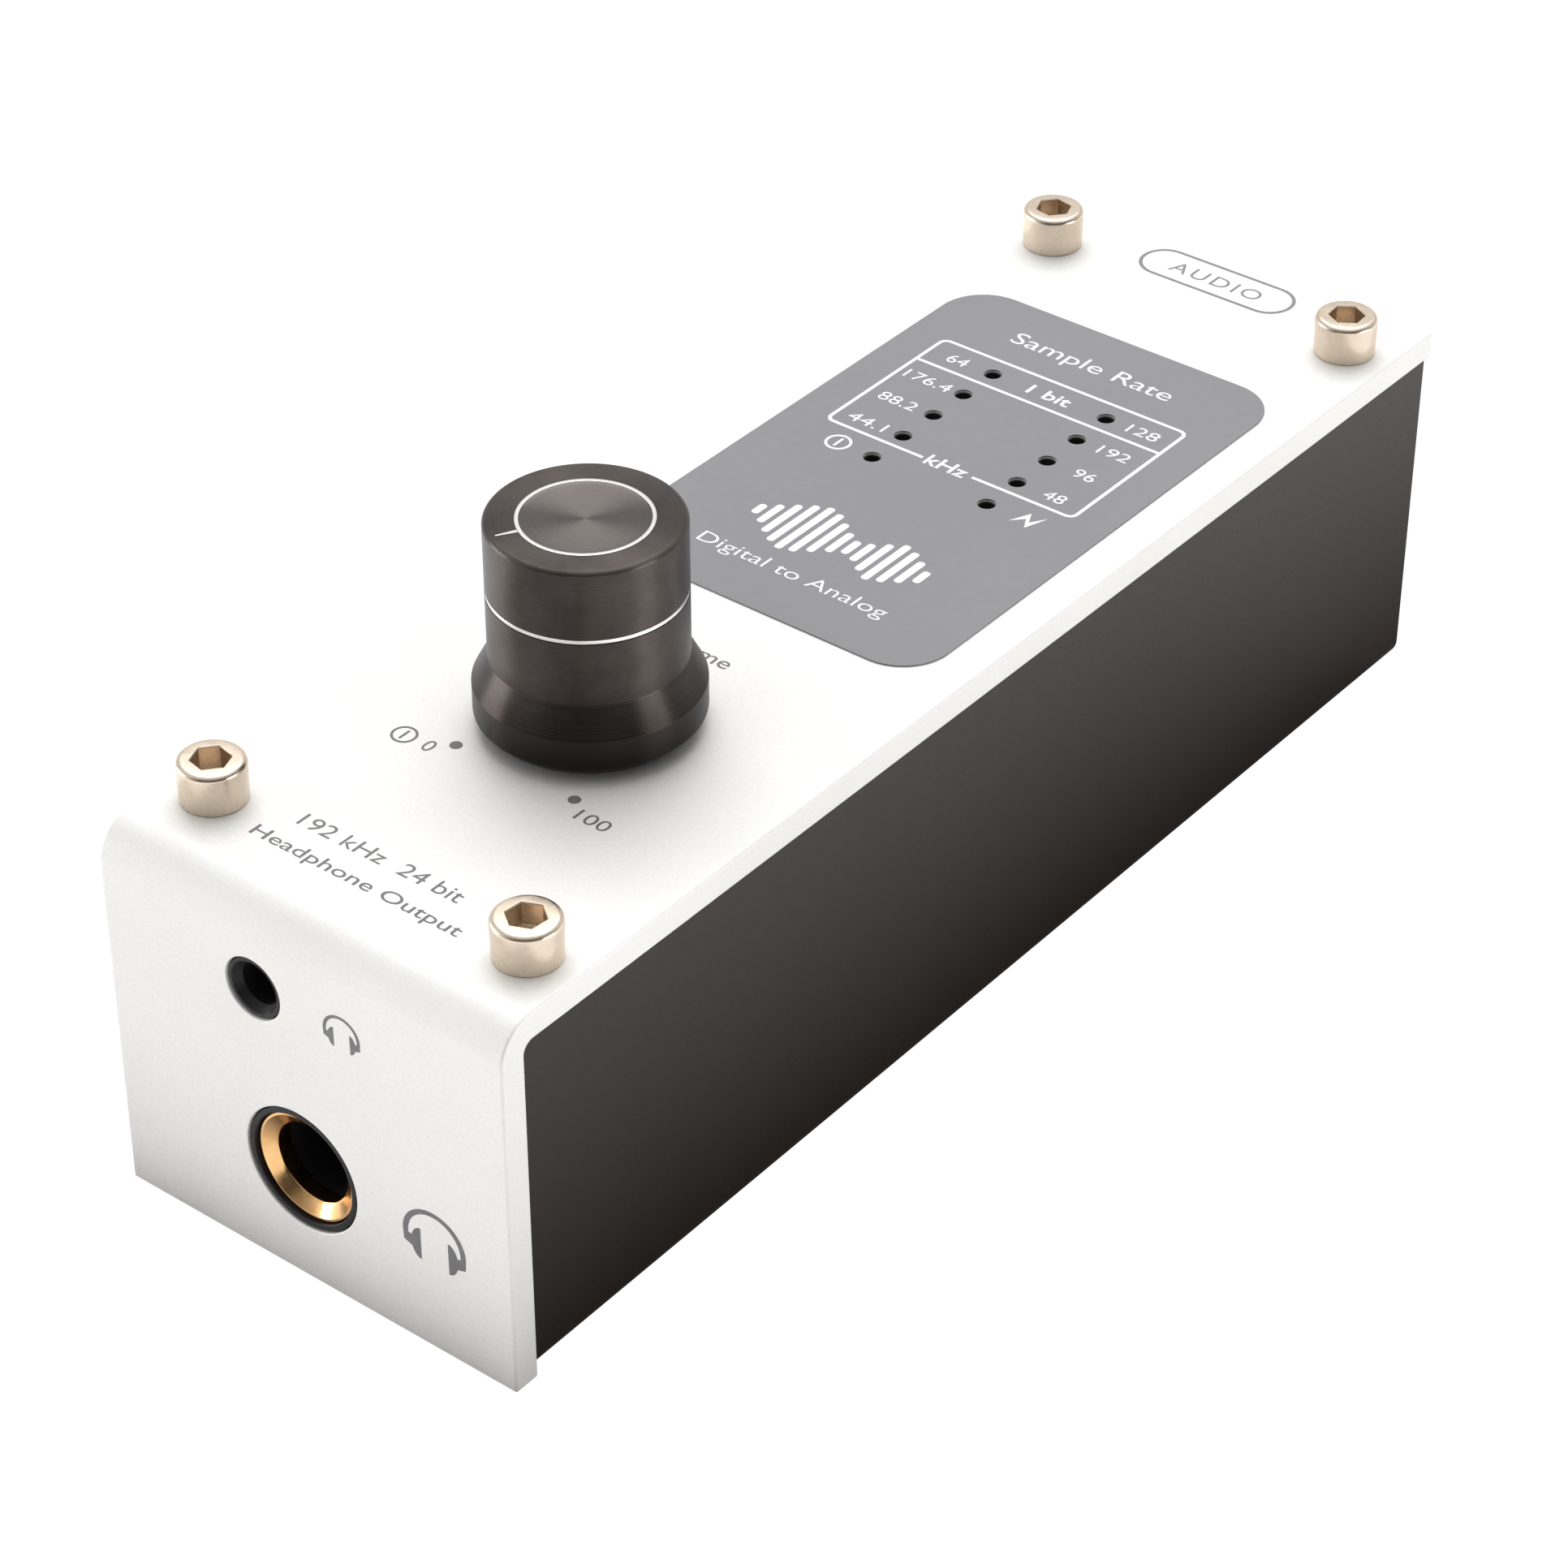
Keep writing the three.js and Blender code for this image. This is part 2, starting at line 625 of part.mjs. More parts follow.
const padTop = MAIN_BOARD_TOP + 0.6;
const pad = block(-10, 10, 52, 96, MAIN_BOARD_TOP + GAP, padTop - GAP);
piece(device, "battery_pad", pad, FOAM);
piece(device, "battery_cell", block(-12, 12, 48, 100, padTop, padTop + 8), POUCH);
const header = block(-17, -14.5, 60, 80, MAIN_BOARD_TOP + GAP, UPPER_BOARD_UNDER - GAP);
piece(device, "board_header", header, BLACK_PLASTIC);
piece(device, "usb_receiver_chip", chipGeometry(5, MAIN_BOARD_TOP), BLACK_PLASTIC, [-5.5, 42, 0]);
piece(device, "dac_chip", chipGeometry(3.5, UPPER_BOARD_TOP), BLACK_PLASTIC, [0, 58, 0]);
piece(device, "output_capacitor_left", capacitorGeometry(), POUCH, [4, 40, 0]);
piece(device, "output_capacitor_right", capacitorGeometry(), POUCH, [12, 40, 0]);

const volume = [0, KNOB_Y, 0];
piece(device, "potentiometer_body", potentiometerGeometry(), ZINC, volume);
piece(device, "potentiometer_washer", washerGeometry(), ZINC, volume);
piece(device, "potentiometer_nut", nutGeometry(), ZINC, volume);

const turning = new THREE.Group();
turning.position.set(...volume);
turning.rotation.z = KNOB_TURN;
device.add(turning);
piece(turning, "volume_knob", knobGeometry(), KNOB_BLACK);
piece(turning, "knob_grub_screw", grubScrewGeometry(), BLACK_ANODISED);
piece(turning, "potentiometer_shaft", shaftGeometry(), ZINC);

export default dac;
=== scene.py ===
"""Looks of the desktop DAC: finely modelled visible pieces, procedural finishes, camera and light.

Shapes are given in case coordinates in millimetres: x across, y from the front face to the rear,
z up from the case's underside. build() and the functions on it turn them into the frame's metres.
"""

import math

import bmesh
import bpy
from mathutils import Matrix, Vector


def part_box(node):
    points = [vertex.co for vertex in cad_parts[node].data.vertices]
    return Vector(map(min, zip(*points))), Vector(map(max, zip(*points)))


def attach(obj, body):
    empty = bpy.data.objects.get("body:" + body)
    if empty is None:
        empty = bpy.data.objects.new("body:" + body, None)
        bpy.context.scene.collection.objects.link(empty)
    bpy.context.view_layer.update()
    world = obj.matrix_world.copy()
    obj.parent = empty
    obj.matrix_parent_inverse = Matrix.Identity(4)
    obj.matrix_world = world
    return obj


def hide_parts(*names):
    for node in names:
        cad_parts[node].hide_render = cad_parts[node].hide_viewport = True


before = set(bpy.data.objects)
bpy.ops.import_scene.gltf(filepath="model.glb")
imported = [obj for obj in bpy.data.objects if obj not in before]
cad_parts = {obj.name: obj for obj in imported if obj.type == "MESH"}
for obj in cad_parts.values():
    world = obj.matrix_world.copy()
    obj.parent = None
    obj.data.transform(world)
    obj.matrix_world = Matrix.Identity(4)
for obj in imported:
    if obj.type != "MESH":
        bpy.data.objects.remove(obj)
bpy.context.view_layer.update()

# ------------------------------------------------------------------ dimensions, mm
MM = 0.001
CASE = Vector((0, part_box("top_cover")[0].y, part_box("chassis")[0].z))
TO_FRAME = Matrix.Translation(CASE) @ Matrix.Scale(MM, 4)

WIDTH, LENGTH, HEIGHT = 40, 124.2, 34.4
COVER_T = 2.5
BEND_INNER = 1
BEND_OUTER = BEND_INNER + COVER_T
COVER_UNDER = HEIGHT - COVER_T
SEAT_GAP = 0.02  # between a part and the face it sits on
FACE_Y = 0.02  # outer face of the front plate; the print on it comes out to 0
PRINT_T = 0.012

SHEET = 1.2
TRAY_HALF = 19.6
TRAY_BEND = 1.8
TRAY_TOP = COVER_UNDER - 0.05
TRAY_FRONT = COVER_T + 0.1
TRAY_REAR = LENGTH - 0.3
REAR_SEAM = 0.25

SCREW_X, SCREW_FRONT_Y, SCREW_REAR_Y = 15.56, 8.14, 116.68
CAP_R, CAP_HEIGHT, THREAD_R = 2.75, 3.6, 1.45
CORNERS = {
    "front_left": (-SCREW_X, SCREW_FRONT_Y),
    "front_right": (SCREW_X, SCREW_FRONT_Y),
    "rear_left": (-SCREW_X, SCREW_REAR_Y),
    "rear_right": (SCREW_X, SCREW_REAR_Y),
}
HEX_TURN = {"front_left": 20, "front_right": -6, "rear_left": 20, "rear_right": 4}  # degrees

LED_X, LED_Y0, LED_PITCH, LED_COUNT, LED_HOLE_R = 5.94, 77.09, 4.303, 5, 0.8
LABEL_HALF, LABEL_Y0, LABEL_Y1, LABEL_CORNER = 16.45, 53, 105.9, 4.5
LABEL_T = 0.12
LABEL_TOP = HEIGHT + SEAT_GAP + LABEL_T

KNOB_Y, KNOB_TURN = 33.6, math.radians(-30)
KNOB_BOTTOM, KNOB_TOP, KNOB_R, SKIRT_R = HEIGHT + 0.7, 52.75, 7.8, 9.1
RIM_TOP = KNOB_TOP - 0.01
LINE_Z = 46.6
RING_OUTER, RING_INNER, DISH = 5.36, 5.02, 0.15
GRUB_Z = 43

BIG_JACK_X, BIG_JACK_Z, BIG_HOLE_R = -1, 10.7, 5.6
BUSHING_R, BIG_BORE_R = 4.85, 3.55
SMALL_JACK_X, SMALL_JACK_Z, SMALL_HOLE_R, SMALL_BORE_R = -4.65, 26.4, 2.73, 1.8
BOARD_TOP = 5
ON_BOARD = 5.02  # underside of the parts that sit on the main board
USB_X, USB_HALF, USB_TOP, USB_MOUTH = -5.5, 6, 15.9, LENGTH - 0.05
USB_MIDDLE = (BOARD_TOP + USB_TOP) / 2
LINE_OUT_X, LINE_OUT_Z = 7.5, 7.4
FOOT_X, FOOT_INSET, FOOT_R, FOOT_H = 14, 20, 4, 1.2


# ------------------------------------------------------------------ mesh helpers
def added(name, data):
    """A new object in the scene for a mesh, curve, light or camera."""
    obj = bpy.data.objects.new(name, data)
    bpy.context.scene.collection.objects.link(obj)
    return obj


def meshed(bm, name):
    mesh = bpy.data.meshes.new(name)
    bm.to_mesh(mesh)
    bm.free()
    return added(name, mesh)


def closed(bm, name):
    """Welds a hand-made shape and turns its faces outward."""
    bmesh.ops.remove_doubles(bm, verts=bm.verts, dist=1e-5)
    bmesh.ops.recalc_face_normals(bm, faces=bm.faces)
    return meshed(bm, name)


def baked(obj):
    """Applies the modifiers of obj, or turns a curve into a mesh."""
    view = bpy.context.evaluated_depsgraph_get()
    mesh = bpy.data.meshes.new_from_object(obj.evaluated_get(view))
    name = obj.name
    made = added(name + "_baked", mesh)
    bpy.data.objects.remove(obj)
    made.name = name
    mesh.name = name
    return made


def sweep(start, end, steps):
    """Evenly spaced angles from start to end, given in degrees and returned in radians."""
    return [math.radians(start + (end - start) * k / steps) for k in range(steps + 1)]


def arc(cu, cv, radius, start, end, steps):
    """Points on an arc, angles in degrees."""
    angles = sweep(start, end, steps)
    return [Vector((cu + radius * math.cos(a), cv + radius * math.sin(a))) for a in angles]


def rectangle(u0, v0, u1, v1, *third):
    """The corners of a rectangle, each followed by the radius or height given last."""
    return [(u, v, *third) for u, v in ((u0, v0), (u1, v0), (u1, v1), (u0, v1))]


def filleted(corners, steps=5):
    """A closed outline from (u, v, radius) corners, each corner rounded to its radius."""
    outline = []
    count = len(corners)
    for i, (u, v, radius) in enumerate(corners):
        here = Vector((u, v))
        if not radius:
            outline.append(here)
            continue
        before = Vector(corners[i - 1][:2]) - here
        after = Vector(corners[(i + 1) % count][:2]) - here
        half = before.angle(after) / 2
        reach = min(radius / math.tan(half), before.length * 0.49, after.length * 0.49)
        start = here + before.normalized() * reach
        end = here + after.normalized() * reach
        middle = before.normalized() + after.normalized()
        centre = here + middle.normalized() * (reach / math.cos(half))
        a, b = start - centre, end - centre
        turn = math.atan2(a.x * b.y - a.y * b.x, a.dot(b))
        for k in range(steps + 1):
            angle = turn * k / steps
            c, s = math.cos(angle), math.sin(angle)
            outline.append(centre + Vector((a.x * c - a.y * s, a.x * s + a.y * c)))
    return outline


def lathe(name, outline, sides=96):
    """Turns a closed (radius, height) outline about z."""
    bm = bmesh.new()
    turns = [2 * math.pi * k / sides for k in range(sides)]
    around = [(math.cos(t), math.sin(t)) for t in turns]
    rings = []
    for radius, height in outline:
        if radius < 1e-6:
            rings.append([bm.verts.new((0, 0, height))])
        else:
            rings.append([bm.verts.new((radius * c, radius * s, height)) for c, s in around])
    for low, high in zip(rings, rings[1:] + rings[:1]):
        for k in range(sides):
            n = (k + 1) % sides
            quad = [low[k % len(low)], low[n % len(low)], high[n % len(high)], high[k % len(high)]]
            corners = list(dict.fromkeys(quad))
            if len(corners) > 2:
                bm.faces.new(corners)
    return closed(bm, name)


def prism(name, outline, low, high, axes):
    """Extrudes an outline: axes "yz" runs along x, "xz" along y and "xy" along z."""
    order = {"yz": (2, 0, 1), "xz": (0, 2, 1), "xy": (0, 1, 2)}[axes]
    bm = bmesh.new()

    def ring(depth):
        verts = []
        for u, v in outline:
            place = (u, v, depth)
            verts.append(bm.verts.new([place[i] for i in order]))
        return verts

    first, last = ring(low), ring(high)
    bm.faces.new(first)
    bm.faces.new(last)
    for k in range(len(outline)):
        n = (k + 1) % len(outline)
        bm.faces.new([first[k], first[n], last[n], last[k]])
    return closed(bm, name)


def loft(name, rings):
    """A closed solid through rings of points that match one to one."""
    bm = bmesh.new()
    loops = [[bm.verts.new(p) for p in ring] for ring in rings]
    bm.faces.new(loops[0])
    bm.faces.new(loops[-1])
    for low, high in zip(loops, loops[1:]):
        for k in range(len(low)):
            n = (k + 1) % len(low)
            bm.faces.new([low[k], low[n], high[n], high[k]])
    return closed(bm, name)


def block(name, x_span, y_span, z_span, edge):
    """A box over three (low, high) spans, its edges rounded by edge."""
    corners = rectangle(x_span[0], z_span[0], x_span[1], z_span[1])
    box = prism(name, corners, *y_span, "xz")
    return rounded(box, edge) if edge else box


def about(middle, half):
    """A (low, high) span."""
    return (middle - half, middle + half)


def rounded(obj, width, segments=3, angle=30):
    """Rounds every edge sharper than angle."""
    bevel = obj.modifiers.new("edges", "BEVEL")
    bevel.width = width
    bevel.segments = segments
    bevel.limit_method = "ANGLE"
    bevel.angle_limit = math.radians(angle)
    return baked(obj)


def combined(obj, others, operation):
    for other in others:
        step = obj.modifiers.new("step", "BOOLEAN")
        step.operation = operation
        step.solver = "EXACT"
        step.object = other
    result = baked(obj)
    for other in others:
        bpy.data.objects.remove(other)
    return result


def moved(obj, x=0, y=0, z=0, turn=None):
    """Moves the mesh itself: first the turn, an (angle, axis) pair in degrees, then the shift."""
    if turn:
        obj.data.transform(Matrix.Rotation(math.radians(turn[0]), 4, turn[1]))
    obj.data.transform(Matrix.Translation((x, y, z)))
    return obj


def facing_front(obj):
    """Turns a shape made along z so that its top faces out of the front plate."""
    return moved(obj, turn=(90, "X"))


def joined(name, objs):
    bm = bmesh.new()
    for obj in objs:
        bm.from_mesh(obj.data)
        bpy.data.objects.remove(obj)
    return meshed(bm, name)


def build(obj, name, body, finish, replaces=(), sharp=32, turn=0.0):
    """Puts a finished shape in the frame: shading, finish, body, and the CAD nodes it stands for.

    turn, in radians, is made about the knob's axis.
    """
    obj.name = name
    obj.data.name = name
    if turn:
        pivot = Matrix.Translation((0, KNOB_Y, 0))
        obj.data.transform(pivot @ Matrix.Rotation(turn, 4, "Z") @ pivot.inverted())
    obj.data.transform(TO_FRAME)
    obj.data.shade_smooth()
    obj.data.set_sharp_from_angle(angle=math.radians(sharp))
    weigh = obj.modifiers.new("normals", "WEIGHTED_NORMAL")
    weigh.keep_sharp = True
    weigh.weight = 80
    obj.data.materials.clear()
    obj.data.materials.append(finish)
    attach(obj, body)
    if replaces:
        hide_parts(*replaces)


def hole_tool(radius, mouth, depth, rim=0.15, sides=64):
    """A cutter along z, from above mouth down to depth, that leaves a rounded rim at mouth."""
    flare = arc(radius + rim, mouth - rim, rim, 180, 90, 4)
    outline = [Vector((0, depth)), Vector((radius, depth)), *flare]
    outline += [Vector((radius + rim, mouth + 1)), Vector((0, mouth + 1))]
    return lathe("hole", outline, sides)


def hexagon_ring(across_flats, z, turn=0):
    radius = across_flats / 2 / math.cos(math.pi / 6)
    angles = [math.radians(60 * k + 30 + turn) for k in range(6)]
    return [(radius * math.cos(a), radius * math.sin(a), z) for a in angles]


# ------------------------------------------------------------------ flat print helpers
CAP_SHARE = 0.73  # height of a capital over the size of the built-in font


def flat(outlines, thickness=PRINT_T):
    """A thin closed solid from 2D outlines; an outline inside another is a hole."""
    curve = bpy.data.curves.new("flat", "CURVE")
    curve.dimensions = "2D"
    curve.fill_mode = "BOTH"
    curve.extrude = thickness / 2
    for outline in outlines:
        spline = curve.splines.new("POLY")
        spline.points.add(len(outline) - 1)
        for point, (u, v) in zip(spline.points, outline):
            point.co = (u, v, 0, 1)
        spline.use_cyclic_u = True
    return baked(added("flat", curve))


def stroke(path, width):
    """The outline of a line of that width along an open path."""
    left, right = [], []
    for i, point in enumerate(path):
        along = Vector(path[min(i + 1, len(path) - 1)]) - Vector(path[max(i - 1, 0)])
        side = Vector((-along.y, along.x)).normalized() * width / 2
        left.append(Vector(point) + side)
        right.append(Vector(point) - side)
    return left + right[::-1]


def words(text, u, v, cap, width=None, weight=0.0, spacing=1.0):
    """Lettering centred on u with its baseline at v, capitals cap high, fitted to width."""
    curve = bpy.data.curves.new("words", "FONT")
    curve.body = text
    curve.align_x = "CENTER"
    curve.extrude = PRINT_T / 2
    curve.offset = weight
    curve.space_character = spacing
    curve.resolution_u = 4
    curve.size = cap / CAP_SHARE
    obj = baked(added("words", curve))
    across = [p.co.x for p in obj.data.vertices]
    middle = (min(across) + max(across)) / 2
    stretch = width / (max(across) - min(across)) if width else 1
    place = Matrix.Translation((u - middle * stretch, v, 0))
    obj.data.transform(place @ Matrix.Diagonal((stretch, 1, 1, 1)))
    return obj


def disc(u, v, radius):
    return arc(u, v, radius, 0, 350, 35)


def power_sign(u, v, radius, width):
    """A bar in a ring."""
    hole = arc(u, v, radius - width, 0, 345, 23)
    half, tall = width / 2, radius * 0.55
    return flat([disc(u, v, radius), hole, rectangle(u - half, v - tall, u + half, v + tall)])


def headphone_sign(u, v, half):
    """A headband that thins towards the top, and two cups with flat inner sides.

    The points are drawn for a sign drawn_half wide to each side of (u, v), and scaled to half.
    """
    drawn_half = 3.1
    size = half / drawn_half

    def place(points, side=1):
        return [(u + side * size * x, v + size * y) for x, y in points]

    outer = [(3.12 * math.cos(a), 2.98 * math.sin(a) - 0.46) for a in sweep(0, 180, 30)]
    inner = [(2.6 * math.cos(a), 2.56 * math.sin(a) - 0.46) for a in sweep(180, 0, 30)]
    band = flat([place([(3.05, -1.5), *outer, (-3.05, -1.5), (-2.6, -1.4), *inner, (2.6, -1.4)])])
    extras = []
    for side in (-1, 1):
        bulge = [(1.37 + 0.95 * math.sin(a), 1.5 * math.cos(a) - 1.22) for a in sweep(0, 180, 16)]
        extras.append(flat([place(bulge, side)]))
        link = [(3.06, -0.85), (3.06, -1.52), (2.1, -1.85), (2.1, -0.75), (2.64, -0.65)]
        extras.append(flat([place(link, side)]))
    return combined(band, extras, "UNION")


# ------------------------------------------------------------------ finishes
def finish(name, **uniform):
    """A Principled material; uniform values go straight on the shader's sockets."""
    made = bpy.data.materials.new(name)
    made.use_nodes = True
    shader = made.node_tree.nodes["Principled BSDF"]
    for socket, value in uniform.items():
        shader.inputs[socket.replace("_", " ")].default_value = value
    return made


def node(made, kind, inputs=None, **settings):
    """Adds a node; inputs maps a socket name or number to a value or to another node's output."""
    new = made.node_tree.nodes.new(kind)
    for key, value in settings.items():
        setattr(new, key, value)
    for key, value in (inputs or {}).items():
        if isinstance(value, bpy.types.NodeSocket):
            made.node_tree.links.new(value, new.inputs[key])
        else:
            new.inputs[key].default_value = value
    return new


def maths(made, operation, *values):
    return node(made, "ShaderNodeMath", dict(enumerate(values)), operation=operation).outputs[0]


def vector_maths(made, operation, *values):
    new = node(made, "ShaderNodeVectorMath", dict(enumerate(values)), operation=operation)
    return new.outputs["Value" if operation in ("LENGTH", "DOT_PRODUCT") else "Vector"]


def texture_place(made, kind):
    return node(made, "ShaderNodeTexCoord").outputs[kind]


def feed(made, socket, value):
    shader = made.node_tree.nodes["Principled BSDF"]
    made.node_tree.links.new(value, shader.inputs[socket])


def noise(made, per_metre, detail=2.0, roughness=0.5):
    """Noise fixed to the object; per_metre is about one over the size of a blotch."""
    place = texture_place(made, "Object")
    inputs = {"Vector": place, "Scale": per_metre, "Detail": detail, "Roughness": roughness}
    return node(made, "ShaderNodeTexNoise", inputs).outputs["Fac"]


def mapped(made, value, low, high, start=0.3, end=0.7):
    """Takes start..end, by default the usual span of noise, to low..high."""
    inputs = {"Value": value, "From Min": start, "From Max": end, "To Min": low, "To Max": high}
    return node(made, "ShaderNodeMapRange", inputs).outputs[0]


def blended(made, factor, first, second):
    inputs = {0: factor}
    for key, colour in ((6, first), (7, second)):
        inputs[key] = colour if isinstance(colour, bpy.types.NodeSocket) else (*colour, 1)
    return node(made, "ShaderNodeMix", inputs, data_type="RGBA").outputs[2]


def bumped(made, height, strength, distance_mm):
    inputs = {"Height": height, "Strength": strength, "Distance": distance_mm * MM}
    return node(made, "ShaderNodeBump", inputs).outputs[0]


def speckled(name, dark, light, roughness, grain, bump, blotch=25, **uniform):
    """A finish with slow colour drift, fine grain in colour and roughness, and a grain bump.

    grain and blotch are counts per metre, and roughness is a (smoothest, roughest) pair.
    """
    made = finish(name, **uniform)
    drift = mapped(made, noise(made, blotch, 3), 0, 0.55)
    fine = mapped(made, noise(made, grain, 4, 0.65), 0, 0.45)
    feed(made, "Base Color", blended(made, maths(made, "ADD", drift, fine), dark, light))
    feed(made, "Roughness", mapped(made, noise(made, grain * 0.5, 3), *roughness))
    feed(made, "Normal", bumped(made, noise(made, grain, 3, 0.6), bump, 0.02))
    return made


KNOB_AXIS = (0, CASE.y + KNOB_Y * MM, 0)


def turned(name, dark, light, roughness, marks_per_mm, bump, foot=None, **uniform):
    """Fine concentric tool marks round the knob's axis.

    foot is the span of heights in metres over which the finish is darkened further down, a painted shade
    for the shade low on the knob near the plate.
    """
    made = finish(name, **uniform)
    local = vector_maths(made, "SUBTRACT", texture_place(made, "Object"), KNOB_AXIS)
    radius = vector_maths(made, "LENGTH", vector_maths(made, "MULTIPLY", local, (1, 1, 0)))
    height = node(made, "ShaderNodeSeparateXYZ", {0: local}).outputs[2]
    scaled = maths(made, "MULTIPLY", maths(made, "ADD", radius, height), marks_per_mm / MM)
    inputs = {"W": scaled, "Detail": 3.0, "Scale": 1.0}
    marks = node(made, "ShaderNodeTexNoise", inputs, noise_dimensions="1D").outputs["Fac"]
    mixed = maths(made, "MULTIPLY", marks, noise(made, 180, 4, 0.6))
    shade = mapped(made, mixed, 0.35, 1, 0.12, 0.4)
    # painted shade: the colour darkens towards the knob's foot, where it stands in shade near the plate
    if foot:
        shade = maths(made, "MULTIPLY", shade, mapped(made, height, 0, 1, *foot))
    feed(made, "Base Color", blended(made, shade, dark, light))
    feed(made, "Roughness", mapped(made, marks, *roughness))
    feed(made, "Normal", bumped(made, marks, bump, 0.01))
    return made


SILVER = speckled(
    "silver_blasted", (0.74, 0.735, 0.715), (0.90, 0.895, 0.875), (0.50, 0.66),
    grain=4600, bump=0.45, Metallic=0.3,
)
BLACK_SHEET = speckled(
    "black_blasted", (0.007, 0.0054, 0.0045), (0.013, 0.0105, 0.0092), (0.27, 0.36),
    grain=5600, bump=0.25, blotch=18, Specular_Tint=(1.0, 0.82, 0.70, 1.0), Specular_IOR_Level=0.35,
)
FILM = speckled(
    "grey_film", (0.225, 0.225, 0.238), (0.255, 0.255, 0.268), (0.46, 0.56),
    grain=2600, bump=0.08, blotch=40,
)
SCREW = speckled(
    "warm_nickel", (0.66, 0.55, 0.44), (0.76, 0.65, 0.53), (0.24, 0.32),
    grain=1900, bump=0.06, blotch=350, Metallic=1.0,
)
STEEL_BLACK = speckled(
    "black_oxide", (0.018, 0.018, 0.019), (0.04, 0.038, 0.036), (0.30, 0.50),
    grain=2600, bump=0.2, blotch=400, Metallic=0.8,
)
TIN = speckled(
    "tinned_sheet", (0.50, 0.50, 0.48), (0.68, 0.68, 0.66), (0.24, 0.42),
    grain=1500, bump=0.15, blotch=200, Metallic=1.0,
)
BRASS = speckled(
    "brass", (0.60, 0.42, 0.18), (0.76, 0.58, 0.30), (0.22, 0.40),
    grain=1500, bump=0.12, blotch=300, Metallic=1.0,
)
GOLD = speckled(
    "gold_plate", (0.70, 0.40, 0.165), (0.84, 0.53, 0.255), (0.14, 0.24),
    grain=1400, bump=0.05, blotch=420, Metallic=1.0,
)
RUBBER = speckled(
    "foot_rubber", (0.012, 0.012, 0.012), (0.03, 0.03, 0.029), (0.7, 0.92),
    grain=2500, bump=0.4, blotch=300,
)
SOLDER_MASK = speckled(
    "solder_mask", (0.010, 0.075, 0.035), (0.02, 0.13, 0.06), (0.28, 0.5),
    grain=900, bump=0.2, blotch=150,
)
PLASTIC = speckled(
    "black_plastic", (0.008, 0.0075, 0.009), (0.018, 0.017, 0.020), (0.34, 0.52),
    grain=3000, bump=0.12, blotch=350, Specular_IOR_Level=0.25,
)
WHITE_PLASTIC = speckled(
    "white_plastic", (0.70, 0.69, 0.64), (0.84, 0.83, 0.78), (0.35, 0.5),
    grain=2200, bump=0.12, blotch=350,
)
# the lens is near black: painted shade for the dark inside its hole in the plate
LENS = speckled(
    "led_lens", (0.008, 0.008, 0.008), (0.022, 0.022, 0.0215), (0.30, 0.45),
    grain=2600, bump=0.05, blotch=900, Specular_IOR_Level=0.2,
)
FOAM = speckled(
    "foam_tape", (0.016, 0.016, 0.017), (0.05, 0.05, 0.052), (0.85, 1.0),
    grain=1800, bump=0.9, blotch=400,
)
FOIL = speckled(
    "battery_foil", (0.45, 0.46, 0.47), (0.63, 0.64, 0.65), (0.22, 0.40),
    grain=700, bump=0.3, blotch=120, Metallic=0.9,
)
WHITE_INK = speckled(
    "white_ink", (0.80, 0.80, 0.80), (0.95, 0.95, 0.95), (0.45, 0.6),
    grain=3500, bump=0.1, blotch=600,
)
GREY_INK = speckled(
    "grey_ink", (0.13, 0.13, 0.136), (0.19, 0.19, 0.198), (0.45, 0.6),
    grain=3500, bump=0.1, blotch=600,
)
PALE_INK = speckled(
    "pale_ink", (0.20, 0.20, 0.20), (0.29, 0.29, 0.29), (0.45, 0.6),
    grain=3500, bump=0.1, blotch=500,
)
# the knob's finish carries painted shade that darkens it towards its foot
KNOB = turned(
    "knob_black", (0.020, 0.016, 0.014), (0.100, 0.086, 0.079), (0.33, 0.42),
    marks_per_mm=16, bump=0.04, foot=(0.0375, 0.0435),
    Metallic=1.0, Anisotropic=0.85, Anisotropic_Rotation=0.25,
)
# a lighter copy of the knob's finish for the dish: painted light for the brighter reflection the dish
# catches
KNOB_FACE = turned(
    "knob_face", (0.105, 0.092, 0.087), (0.145, 0.128, 0.121), (0.26, 0.34),
    marks_per_mm=12, bump=0.05, Metallic=1.0, Anisotropic=0.9, Anisotropic_Rotation=0.25,
)
DIAMOND_CUT = turned(
    "diamond_cut", (0.76, 0.72, 0.70), (0.90, 0.87, 0.85), (0.14, 0.26),
    marks_per_mm=14, bump=0.12, Metallic=0.85,
)


# ------------------------------------------------------------------ case
def make_cover():
    outline = [Vector((FACE_Y, 0)), Vector((COVER_T, 0))]
    outline += arc(BEND_OUTER, HEIGHT - BEND_OUTER, BEND_INNER, 180, 90, 12)
    outline += [Vector((LENGTH, COVER_UNDER)), Vector((LENGTH, HEIGHT))]
    bend = arc(BEND_OUTER, HEIGHT - BEND_OUTER, BEND_OUTER, 90, 180, 24)
    outline += [Vector((max(p.x, FACE_Y), p.y)) for p in bend]
    plate = rounded(prism("cover", outline, -WIDTH / 2, WIDTH / 2, "yz"), 0.25, 4)

    tools = []
    for x, y in CORNERS.values():
        tools.append(moved(hole_tool(1.75, HEIGHT, COVER_UNDER - 1, 0.1), x, y))
    for x, y in led_places().values():
        tools.append(moved(hole_tool(LED_HOLE_R, HEIGHT, COVER_UNDER - 1, 0.06, 40), x, y))
    tools.append(moved(hole_tool(3.8, HEIGHT, COVER_UNDER - 1, 0.1), 0, KNOB_Y))
    jacks = ((BIG_JACK_X, BIG_JACK_Z, BIG_HOLE_R), (SMALL_JACK_X, SMALL_JACK_Z, SMALL_HOLE_R))
    for x, z, radius in jacks:
        tool = hole_tool(radius, -FACE_Y, -COVER_T - 1, 0.12, 96)
        tools.append(moved(tool, x, 0, z, (90, "X")))
    return combined(plate, tools, "DIFFERENCE")


